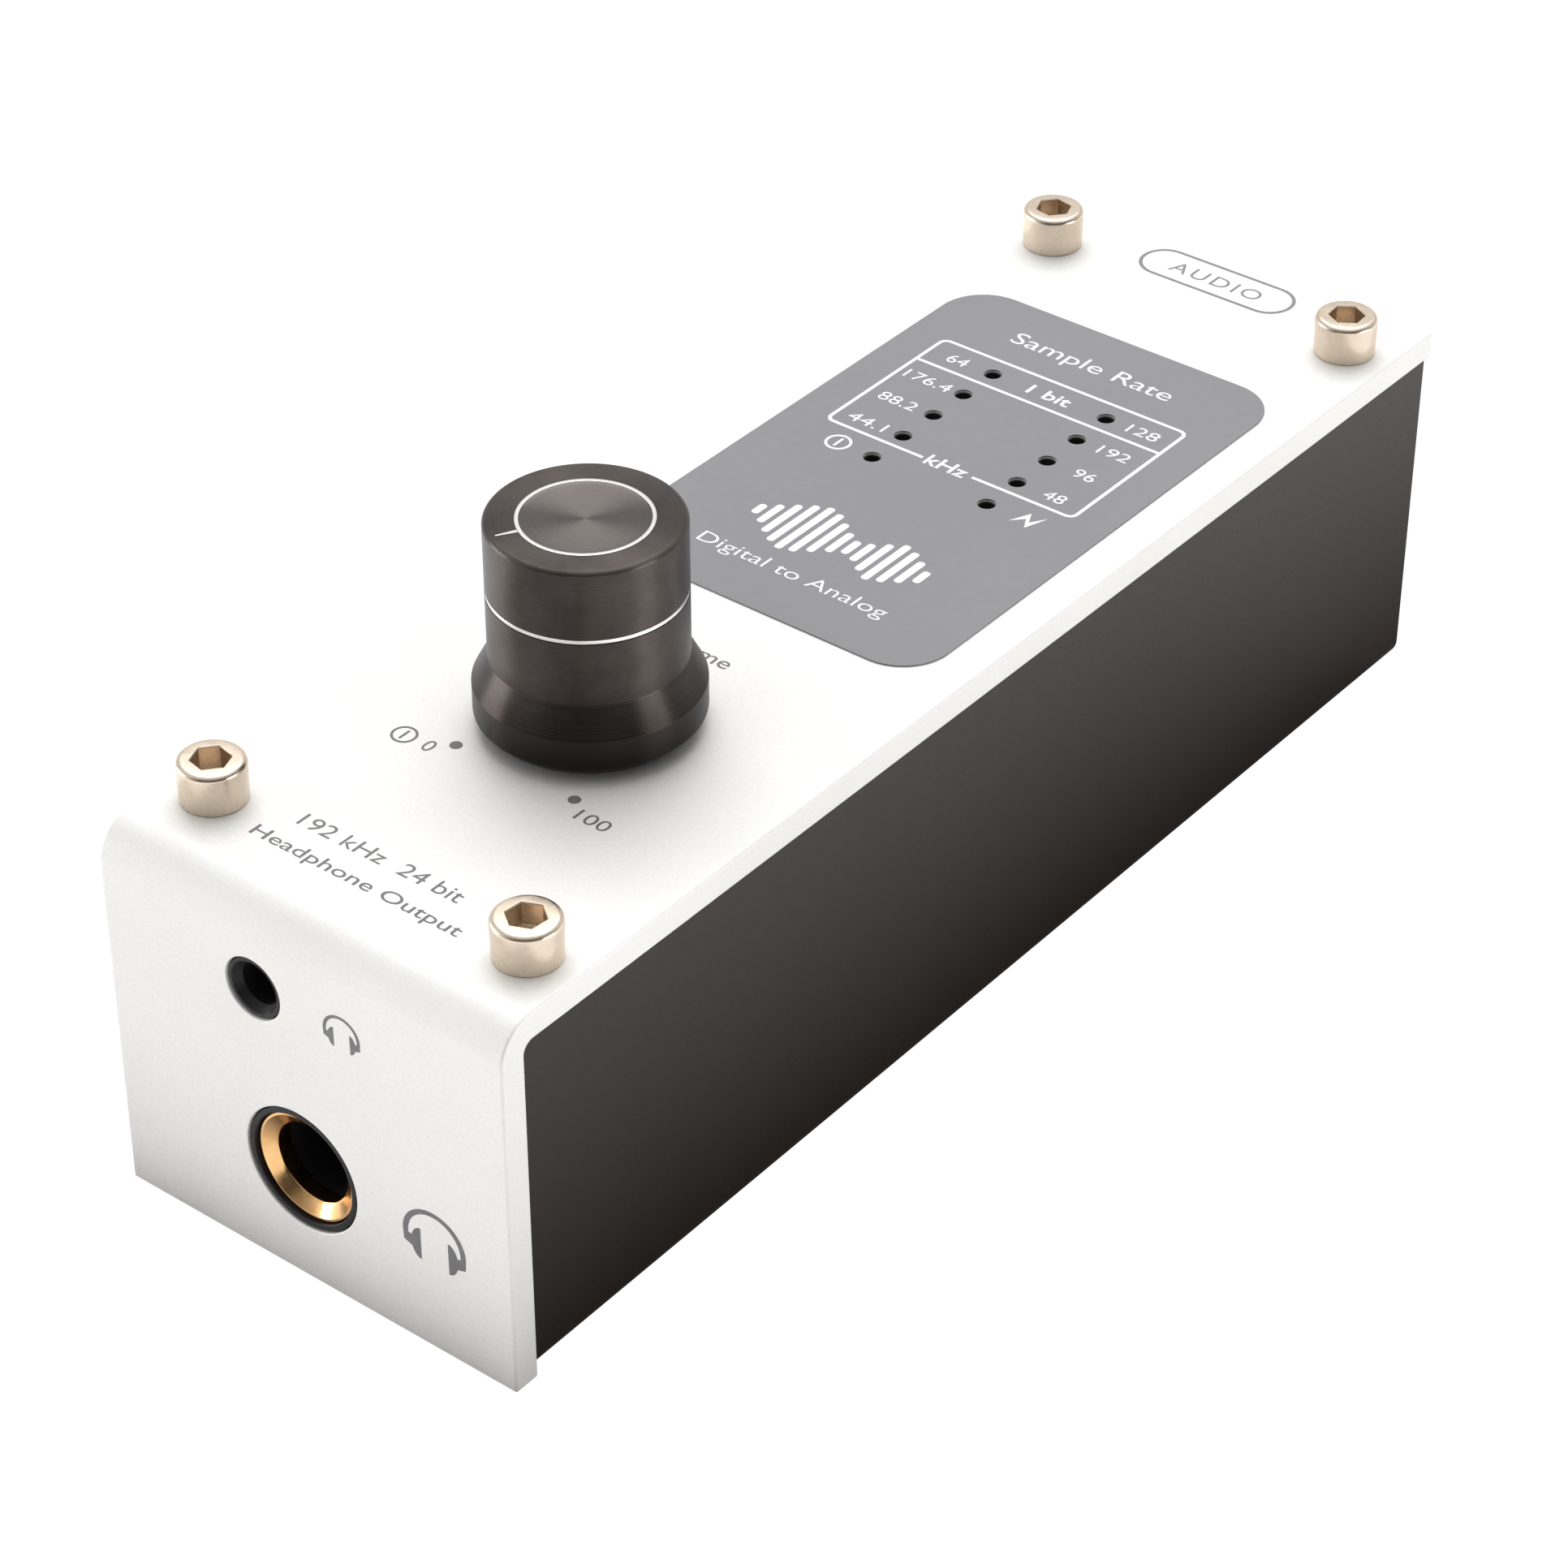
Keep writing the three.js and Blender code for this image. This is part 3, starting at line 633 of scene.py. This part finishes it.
def led_places():
    places = {}
    for side, x in (("left", -LED_X), ("right", LED_X)):
        for row in range(LED_COUNT):
            places[f"led_{side}_{row + 1}"] = (x, LED_Y0 + row * LED_PITCH)
    return places


def make_label():
    outline = filleted(rectangle(-LABEL_HALF, LABEL_Y0, LABEL_HALF, LABEL_Y1, LABEL_CORNER), 14)
    windows = [disc(x, y, LED_HOLE_R) for x, y in led_places().values()]
    film = flat([outline, *windows], LABEL_T)
    return moved(film, z=LABEL_TOP - LABEL_T / 2)


def make_tray():
    inner, inner_bend = TRAY_HALF - SHEET, TRAY_BEND - SHEET
    outline = [Vector((-TRAY_HALF, TRAY_TOP))]
    outline += arc(TRAY_BEND - TRAY_HALF, TRAY_BEND, TRAY_BEND, 180, 270, 10)
    outline += arc(TRAY_HALF - TRAY_BEND, TRAY_BEND, TRAY_BEND, 270, 360, 10)
    outline += [Vector((TRAY_HALF, TRAY_TOP)), Vector((inner, TRAY_TOP))]
    outline += arc(inner - inner_bend, TRAY_BEND, inner_bend, 0, -90, 6)
    outline += arc(inner_bend - inner, TRAY_BEND, inner_bend, 270, 180, 6)
    outline.append(Vector((-inner, TRAY_TOP)))
    sides = rounded(prism("tray", outline, TRAY_FRONT, TRAY_REAR, "xz"), 0.12)

    wall_half = inner - REAR_SEAM
    wall = block("wall", about(0, wall_half), (TRAY_REAR - SHEET, TRAY_REAR), (SHEET / 2, TRAY_TOP), 0.12)
    tray = combined(sides, [wall], "UNION")

    reach = 1.3
    nose = [Vector((TRAY_FRONT - 1, TRAY_TOP + 1)), Vector((TRAY_FRONT - 1, TRAY_TOP - reach))]
    nose += arc(TRAY_FRONT + reach, TRAY_TOP - reach, reach, 180, 90, 8)
    nose.append(Vector((TRAY_FRONT + reach, TRAY_TOP + 1)))
    tools = [prism("nose", nose, -WIDTH, WIDTH, "yz")]
    margin = 0.25
    left, right = about(USB_X, USB_HALF + margin)
    usb = filleted(rectangle(left, BOARD_TOP - margin, right, USB_TOP + margin, 0.3))
    tools.append(prism("usb", usb, TRAY_REAR - 2 * SHEET, TRAY_REAR + 1, "xz"))
    line_out = hole_tool(SMALL_HOLE_R, TRAY_REAR, TRAY_REAR - 2 * SHEET, 0.12)
    tools.append(moved(line_out, LINE_OUT_X, 0, LINE_OUT_Z, (-90, "X")))
    inside = SHEET + 0.1
    sink = [(0, -0.1), (2.85, -0.1), (1.75, SHEET - 0.1), (1.75, inside), (0, inside)]
    for x, y in CORNERS.values():
        tools.append(moved(lathe("sink", sink), x, y))
    return combined(tray, tools, "DIFFERENCE")


def make_foot():
    low, high = -FOOT_H, -SEAT_GAP
    corners = [(0, low, 0), (FOOT_R, low, 0.3), (FOOT_R, high, 0.08), (0, high, 0)]
    foot = lathe("foot", filleted(corners), 72)
    deep = low + 0.25
    hollow = [(0, low - 1, 0), (1.6, low - 1, 0), (1.3, deep, 0.15), (0, deep, 0)]
    return combined(foot, [lathe("dimple", filleted(hollow), 48)], "DIFFERENCE")


def make_cap_screw(turn):
    seat = HEIGHT + SEAT_GAP
    top = seat + CAP_HEIGHT
    tip = seat - 8
    corners = [
        (0, tip, 0),
        (THREAD_R, tip, 0.3),
        (THREAD_R, seat, 0),
        (CAP_R - 0.08, seat, 0.1),
        (CAP_R, top, 0.5),
        (0, top, 0),
    ]
    head = lathe("head", filleted(corners, 6), 96)
    socket = loft("socket", [
        hexagon_ring(2.6, top - 1.9, turn),
        hexagon_ring(2.8, top - 1.7, turn),
        hexagon_ring(2.8, top - 0.08, turn),
        hexagon_ring(2.96, top + 0.02, turn),
        hexagon_ring(2.96, top + 1, turn),
    ])
    return combined(head, [socket], "DIFFERENCE")


def make_base_screw():
    low = 0.08
    head_r = THREAD_R + SHEET - low
    corners = [(0, low, 0), (head_r, low, 0.08), (THREAD_R, SHEET, 0), (THREAD_R, 10, 0.2), (0, 10, 0)]
    screw = lathe("screw", filleted(corners), 64)
    tools = []
    for turn in (0, 90):
        wide = rectangle(-1.4, -0.3, 1.4, 0.3, low - 1)
        deep = rectangle(-0.7, -0.22, 0.7, 0.22, low + 0.9)
        tools.append(moved(loft("cross", [wide, deep]), turn=(turn, "Z")))
    return combined(screw, tools, "DIFFERENCE")


build(make_cover(), "cover_plate", "case", SILVER, ["top_cover"])
build(make_label(), "label_film", "case", FILM, ["label_overlay"])
build(make_tray(), "case_tray", "case", BLACK_SHEET, ["chassis"])
for corner, (x, y) in CORNERS.items():
    screw = moved(make_cap_screw(HEX_TURN[corner]), x, y)
    build(screw, f"cap_screw_{corner}", "case", SCREW, [f"cover_screw_{corner}"])
    screw = moved(make_base_screw(), x, y)
    build(screw, f"floor_screw_{corner}", "case", STEEL_BLACK, [f"base_screw_{corner}"])
    foot_y = FOOT_INSET if y < LENGTH / 2 else LENGTH - FOOT_INSET
    foot = moved(make_foot(), math.copysign(FOOT_X, x), foot_y)
    build(foot, f"rubber_foot_{corner}", "case", RUBBER, [f"foot_{corner}"])


# ------------------------------------------------------------------ sockets
def jack_nose(radius, rear, mouth, edge, sides):
    corners = [(0, rear, 0), (radius, rear, 0), (radius, mouth, edge), (0, mouth, 0)]
    return facing_front(lathe("nose", filleted(corners), sides))


def make_big_jack():
    """The body round the socket's own axis, with a seat for the bushing."""
    half, mouth = BIG_JACK_Z - ON_BOARD, -0.15
    body = block("body", about(0, 8), (TRAY_FRONT + 0.4, 30), (-half, half), 0.2)
    nose = jack_nose(BIG_HOLE_R - 0.12, -TRAY_FRONT - 1, mouth, 0.14, 128)
    whole = combined(body, [nose], "UNION")
    seat = facing_front(hole_tool(BUSHING_R + 0.1, mouth, -2.7, 0.1, 128))
    bore = lathe("bore", [(0, -28), (BIG_BORE_R, -28), (BIG_BORE_R, -2), (0, -2)])
    return combined(whole, [seat, facing_front(bore)], "DIFFERENCE")


def make_bushing():
    mouth, rear = -0.5, -2.6
    corners = [
        (BUSHING_R, rear, 0.1),
        (BUSHING_R, mouth, 0.08),
        (BUSHING_R - 0.25, mouth, 0.07),
        (BIG_BORE_R + 0.2, -1.1, 0.08),
        (BIG_BORE_R, -1.25, 0.1),
        (BIG_BORE_R, rear, 0.1),
    ]
    return facing_front(lathe("bushing", filleted(corners), 128))


def make_small_jack(nose_depth, shoulder):
    """A body whose nose ends nose_depth, and whose block begins shoulder, inside the wall's face."""
    body = block("body", about(0, 3.1), (shoulder, shoulder + 12), (SEAT_GAP - 2.4, 2.62), 0.15)
    mouth = -nose_depth
    nose = jack_nose(SMALL_HOLE_R - 0.1, -shoulder - 0.05, mouth, 0.12, 96)
    whole = combined(body, [nose], "UNION")
    tool = [
        (0, -shoulder - 10.5),
        (SMALL_BORE_R, -shoulder - 10.5),
        (SMALL_BORE_R, mouth - 0.7),
        (SMALL_BORE_R + 0.42, mouth - 0.1),
        (SMALL_BORE_R + 0.5, mouth),
        (SMALL_BORE_R + 0.5, mouth + 1),
        (0, mouth + 1),
    ]
    return combined(whole, [facing_front(lathe("bore", tool, 96))], "DIFFERENCE")


def make_usb_shell():
    mouth = USB_MOUTH
    shell = block("shell", about(0, USB_HALF), (mouth - 16, mouth), (ON_BOARD, USB_TOP), 0.35)
    wide, tall, bevel = 4.3, 3.95, 1.6
    low, high = USB_MIDDLE - tall, USB_MIDDLE + tall
    opening = filleted([
        (-wide, low, 0.2),
        (wide, low, 0.2),
        (wide, high - bevel, 0.2),
        (wide - bevel, high, 0.2),
        (bevel - wide, high, 0.2),
        (-wide, high - bevel, 0.2),
    ])
    tools = [prism("opening", opening, mouth - 12.5, mouth + 1, "xz")]
    for x in (-USB_HALF, USB_HALF):
        tools.append(block("latch", about(x, 0.25), (mouth - 9, mouth - 5), about(USB_MIDDLE, 1.2), 0))
    return combined(shell, tools, "DIFFERENCE")


def make_contacts():
    span = (USB_MOUTH - 11, USB_MOUTH - 3.1)
    strips = []
    for x in (-1.25, 1.25):
        for z in (USB_MIDDLE + 1.6, USB_MIDDLE - 1.6):
            strips.append(block("strip", about(x, 0.5), span, about(z, 0.12), 0.05))
    return joined("contacts", strips)


def make_led():
    top = HEIGHT - 0.1
    corners = [
        (0, 24.02, 0),
        (0.3, 24.02, 0),
        (0.3, 27, 0),
        (0.9, 27, 0.1),
        (0.9, 31.4, 0.1),
        (0.77, 31.8, 0.1),
        (0.77, top, 0.04),
        (0.64, top, 0.04),
        (0.58, top - 0.7, 0.1),
        (0.3, top - 0.45, 0.2),
        (0, top - 0.42, 0),
    ]
    return lathe("led", filleted(corners), 32)


big_jack = moved(make_big_jack(), BIG_JACK_X, 0, BIG_JACK_Z)
build(big_jack, "big_socket_body", "case", PLASTIC, ["headphone_jack_635_body"])
bushing = moved(make_bushing(), BIG_JACK_X, 0, BIG_JACK_Z)
build(bushing, "big_socket_ring", "case", GOLD, ["headphone_jack_635_bushing"])
small_jack = moved(make_small_jack(0.2, 3), SMALL_JACK_X, 0, SMALL_JACK_Z)
build(small_jack, "small_socket_body", "case", PLASTIC, ["headphone_jack_35_body"])
line_out = moved(make_small_jack(0.5, 2.3), LINE_OUT_X, LENGTH, LINE_OUT_Z, (180, "Z"))
build(line_out, "rear_socket_body", "case", PLASTIC, ["line_out_jack_body"])
build(moved(make_usb_shell(), USB_X), "usb_shell", "case", TIN, ["usb_socket_shell"])
tongue = block("tongue", about(0, 2.8), (LENGTH - 12.53, LENGTH - 2.55), about(USB_MIDDLE, 1.6), 0.2)
build(moved(tongue, USB_X), "usb_tongue", "case", WHITE_PLASTIC, ["usb_socket_tongue"])
build(moved(make_contacts(), USB_X), "usb_contacts", "case", GOLD)
for led, (x, y) in led_places().items():
    build(moved(make_led(), x, y), f"{led}_lens", "case", LENS, [led])


# ------------------------------------------------------------------ knob
def make_knob():
    top = RIM_TOP
    corners = [
        (3.15, 37.6, 0),
        (7, 37.6, 0.3),
        (7, KNOB_BOTTOM, 0.15),
        (8.35, KNOB_BOTTOM, 0.2),
        (SKIRT_R, KNOB_BOTTOM + 0.75, 0.5),
        (SKIRT_R, 38.4, 0.25),
        (KNOB_R, 40.9, 0.2),
        (KNOB_R, LINE_Z - 0.22, 0.03),
        (KNOB_R - 0.25, LINE_Z - 0.2, 0),
        (KNOB_R - 0.25, LINE_Z + 0.2, 0),
        (KNOB_R, LINE_Z + 0.22, 0.03),
        (KNOB_R, top, 0.42),
        (RING_OUTER, top, 0),
        (RING_OUTER, top - 0.3, 0),
        (0, top - 0.3, 0),
    ]
    outline = filleted(corners, 8)
    outline += [Vector((0, 47)), Vector((3.15, 47))]
    knob = lathe("knob", outline, 180)
    slot = rectangle(-0.2, -7.15, 0.2, -RING_OUTER + 0.2)
    tools = [prism("slot", slot, top - 0.12, top + 1, "xy")]
    grub = moved(hole_tool(1.5, KNOB_R, 2, 0.08, 48), z=GRUB_Z, turn=(-90, "X"))
    tools.append(grub)
    return combined(knob, tools, "DIFFERENCE")


def make_ring():
    top = RIM_TOP
    outer, low = RING_OUTER - 0.01, top - 0.29
    corners = [(outer, top, 0.04), (RING_INNER, top, 0.04), (RING_INNER, low, 0), (outer, low, 0)]
    return lathe("ring", filleted(corners), 160)


def make_dish():
    """The shallow turned face inside the ring."""
    top = KNOB_TOP - 0.03
    edge = RING_INNER - 0.01
    outline = [Vector((edge, top - 0.26)), Vector((edge, top))]
    outline += [Vector((edge * math.cos(a), top - DISH * math.sin(a))) for a in sweep(15, 90, 14)]
    outline[-1].x = 0
    outline.append(Vector((0, top - 0.26)))
    return lathe("dish", outline, 160)


def make_line():
    corners = [
        (KNOB_R - 0.25, LINE_Z - 0.19, 0),
        (KNOB_R - 0.03, LINE_Z - 0.16, 0.03),
        (KNOB_R - 0.03, LINE_Z + 0.16, 0.03),
        (KNOB_R - 0.25, LINE_Z + 0.19, 0),
    ]
    return lathe("line", filleted(corners), 160)


def make_pointer():
    top = RIM_TOP
    inner = -RING_OUTER - 0.02
    wedge = [(-0.09, -7.12), (0.09, -7.12), (0.18, inner), (-0.18, inner)]
    return prism("pointer", wedge, top - 0.12, top, "xy")


def make_grub():
    outer = 6.6
    corners = [(0, 3.3, 0), (1.35, 3.3, 0), (1.35, outer, 0.15), (0, outer, 0)]
    body = lathe("grub", filleted(corners), 48)
    levels = ((1.3, outer - 1.2), (1.3, outer - 0.1), (1.5, outer + 0.5))
    socket = loft("socket", [hexagon_ring(flats, z) for flats, z in levels])
    return moved(combined(body, [socket], "DIFFERENCE"), z=GRUB_Z, turn=(-90, "X"))


for shape, name, surface, slot, nodes in (
    (make_knob(), "knob_body", KNOB, "knob_black", ["volume_knob"]),
    (make_ring(), "knob_ring", DIAMOND_CUT, "silver_aluminium", []),
    # the dish is knob_black like the body; its lighter finish is painted light
    (make_dish(), "knob_dish", KNOB_FACE, "knob_black", []),
    (make_line(), "knob_line", DIAMOND_CUT, "silver_aluminium", []),
    (make_pointer(), "knob_pointer", DIAMOND_CUT, "silver_aluminium", []),
    (make_grub(), "knob_set_screw", STEEL_BLACK, "black_steel", ["knob_grub_screw"]),
):
    build(moved(shape, y=KNOB_Y), name, "knob", surface, nodes, turn=KNOB_TURN)


# ------------------------------------------------------------------ print
def print_on_film():
    half, low, high, divide, line, bend = 12.75, 79.65, 96.5, 92.4, 0.34, 0.7
    border = [Vector((2.55, low))]
    border += arc(half - bend, low + bend, bend, -90, 0, 8)
    border += arc(half - bend, high - bend, bend, 0, 90, 8)
    border += arc(bend - half, high - bend, bend, 90, 180, 8)
    border += arc(bend - half, low + bend, bend, 180, 270, 8)
    border.append(Vector((-2.55, low)))
    shapes = [flat([stroke(border, line)])]
    across = [(line / 2 - half, divide), (half - line / 2, divide)]
    shapes.append(flat([stroke(across, line)]))
    shapes.append(words("Sample Rate", 0.1, 99.75, 1.95, 16.6, -0.004))
    shapes.append(words("1 bit", 0.05, 93.65, 1.5, 4.3, 0.035))
    shapes.append(words("kHz", -0.1, 79.0, 1.65, 4.1, 0.03))
    rows = (("64", "128", 4), ("176.4", "192", 3), ("88.2", "96", 2), ("44.1", "48", 1))
    for left, right, row in rows:
        base = LED_Y0 + row * LED_PITCH - 0.68
        shapes.append(words(left, -9.65, base, 1.4, 0.92 * len(left) + 0.15))
        shapes.append(words(right, 9.8, base, 1.4, 1.02 * len(right)))
    shapes.append(power_sign(-9.6, 77.2, 1.2, 0.26))
    bolt = [(8.85, 76.15), (9.75, 78.15), (10.35, 76.9), (11.3, 78.3), (10.5, 76.0), (9.85, 77.2)]
    shapes.append(flat([bolt]))
    shapes.append(words("Digital to Analog", -0.15, 58.15, 1.6, 19.0, -0.012))
    heights = (1.6, 3.2, 5.0, 6.6, 7.6, 6.9, 5.2, 3.4, 2.2, 3.0, 4.7, 6.2, 5.3, 3.7, 1.9)
    middle, pitch, bar_half = 64.9, 1.19, 0.36
    for k, tall in enumerate(heights):
        u = (k - (len(heights) - 1) / 2) * pitch
        bar = rectangle(u - bar_half, middle - tall / 2, u + bar_half, middle + tall / 2, 0.3)
        shapes.append(flat([filleted(bar)]))
    return moved(joined("print", shapes), z=LABEL_TOP + PRINT_T / 2)


def print_on_cover():
    shapes = [
        words("192 kHz  24 bit", -0.5, 9.5, 1.6, 16.0, -0.004),
        words("Headphone Output", -0.2, 6.5, 1.35, 20.6, 0.006),
        words("Volume", 0, 45.0, 1.6, 8.0, 0.006),
        words("0", -7.3, 22.35, 1.5),
        words("100", 8.8, 22.75, 1.4, 3.1),
        power_sign(-9.8, 23.0, 1.1, 0.22),
        flat([disc(-5.75, 24.4, 0.52)]),
        flat([disc(5.93, 24.6, 0.52)]),
    ]
    return moved(joined("print", shapes), z=HEIGHT + PRINT_T / 2)


def rear_badge():
    def stadium(half_v):
        return arc(5.55, 120.0, half_v, -90, 90, 16) + arc(-5.4, 120.0, half_v, 90, 270, 16)

    word = words("AUDIO", 0.05, 119.1, 1.8, 9.4, spacing=1.2)
    shapes = [flat([stadium(2.45), stadium(2.11)]), word]
    return moved(joined("badge", shapes), z=HEIGHT + PRINT_T / 2)


def print_on_front():
    signs = [headphone_sign(12.4, 11.2, 3.1), headphone_sign(4.28, 26.7, 1.83)]
    return moved(facing_front(joined("signs", signs)), y=PRINT_T / 2 + 0.004)


build(print_on_film(), "film_print", "case", WHITE_INK)
build(print_on_cover(), "cover_print", "case", GREY_INK)
build(rear_badge(), "rear_badge", "case", PALE_INK)
build(print_on_front(), "front_print", "case", GREY_INK)

# ------------------------------------------------------------------ finishes of the CAD nodes that stay
KEPT = {
    "board_spacer": TIN,
    "lower_standoff": BRASS,
    "upper_standoff": BRASS,
    "main_board": SOLDER_MASK,
    "upper_board": SOLDER_MASK,
    "led_holder": PLASTIC,
    "battery_pad": FOAM,
    "battery_cell": FOIL,
    "board_header": PLASTIC,
    "usb_receiver_chip": PLASTIC,
    "dac_chip": PLASTIC,
    "output_capacitor": FOIL,
    "potentiometer": TIN,
}
for name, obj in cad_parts.items():
    for start, surface in KEPT.items():
        if name.startswith(start):
            obj.data.materials.clear()
            obj.data.materials.append(surface)

# ------------------------------------------------------------------ floor, light, camera
def floor_gap(made):
    """Distance in metres from the case's outline, stretched in front and shortened behind."""
    rear, front = 0.4, 3
    spot = texture_place(made, "Object")
    beyond = []
    for x_scale, y_scale in ((1, rear), (-1, -front)):
        scaled = vector_maths(made, "MULTIPLY", spot, (x_scale, y_scale, 1))
        edge = Vector((WIDTH / 2, abs(y_scale) * LENGTH / 2, 0)) * MM
        beyond.append(vector_maths(made, "SUBTRACT", scaled, edge))
    parts = node(made, "ShaderNodeSeparateXYZ", {0: vector_maths(made, "MAXIMUM", *beyond)})
    return maths(made, "MAXIMUM", parts.outputs[0], parts.outputs[1])


def pale_floor():
    """A pale floor that glows softly, with a painted shadow that darkens it beside the case, and near
    white to the camera.
    """
    made = finish("floor_white", Roughness=0.9, Emission_Strength=0.5)
    # painted shadow: the floor's colour and glow darken close to the case, seen mostly in reflected and
    # bounced light
    away = mapped(made, floor_gap(made), 0, 1, 0.002, 0.036)
    pale = blended(made, noise(made, 3, 2), (0.72, 0.72, 0.72), (0.76, 0.76, 0.76))
    feed(made, "Base Color", blended(made, away, (0.16, 0.135, 0.12), pale))
    feed(made, "Emission Color", blended(made, away, (0.05, 0.043, 0.038), (1, 1, 1)))
    white = node(made, "ShaderNodeEmission", {"Color": (1, 1, 1, 1), "Strength": 1.12}).outputs[0]
    seen = node(made, "ShaderNodeLightPath").outputs["Is Camera Ray"]
    nodes = made.node_tree.nodes
    inputs = {0: maths(made, "MULTIPLY", seen, 0.9), 1: nodes["Principled BSDF"].outputs[0], 2: white}
    look = node(made, "ShaderNodeMixShader", inputs).outputs[0]
    made.node_tree.links.new(look, nodes["Material Output"].inputs["Surface"])
    return made


floor = prism("floor", rectangle(-3, -3, 3, 3), -0.02, 0, "xy")
floor.data.materials.append(pale_floor())


def softbox(name, place, wide, tall, strength):
    """An area light aimed at the case; strength is its radiance."""
    data = bpy.data.lights.new(name, "AREA")
    data.shape = "RECTANGLE"
    data.size = wide
    data.size_y = tall
    data.energy = strength * math.pi * wide * tall
    lamp = added(name, data)
    lamp.location = place
    aim = Vector((0, 0, 0.02)) - Vector(place)
    lamp.rotation_euler = aim.to_track_quat("-Z", "Y").to_euler()


softbox("key", (-0.28, 0.38, 1.13), 1.1, 1.1, 2.6)
softbox("low_left", (-0.90, -0.50, 0.09), 0.5, 0.18, 12.0)
softbox("low_right", (0.95, 0.20, 0.09), 0.45, 0.18, 11.0)

# an even room, dim low down on the front right, and white where the camera sees it
world = bpy.data.worlds.new("studio")
bpy.context.scene.world = world
world.use_nodes = True
toward = texture_place(world, "Generated")
ahead = vector_maths(world, "DOT_PRODUCT", toward, (0.80, -0.60, 0))
up = node(world, "ShaderNodeSeparateXYZ", {0: toward}).outputs[2]
dim = maths(world, "MULTIPLY", mapped(world, ahead, 0, 1, -0.1, 0.6), mapped(world, up, 1, 0, 0.5, 0.85))
room = blended(world, dim, (0.80, 0.80, 0.80), (0.05, 0.045, 0.04))
seen = node(world, "ShaderNodeLightPath").outputs["Is Camera Ray"]
sky = world.node_tree.nodes["Background"]
world.node_tree.links.new(blended(world, seen, room, (1, 1, 1)), sky.inputs["Color"])
sky.inputs["Strength"].default_value = 1.0

bpy.context.scene.view_settings.view_transform = "Standard"
bpy.context.scene.view_settings.look = "None"

# the camera's own axes, lens and place in the frame
forward = Vector((-0.50038, 0.63666, -0.58675))
upward = Vector((-0.36315, 0.46087, 0.80977))
across = forward.cross(upward)
lens = bpy.data.cameras.new("camera")
lens.lens = 102.82
lens.sensor_width = 36
lens.clip_start = 0.01
camera = added("camera", lens)
facing = Matrix((across, upward, -forward)).transposed().to_4x4()
camera.matrix_world = Matrix.Translation((0.18612, -0.24130, 0.23386)) @ facing
bpy.context.scene.camera = camera
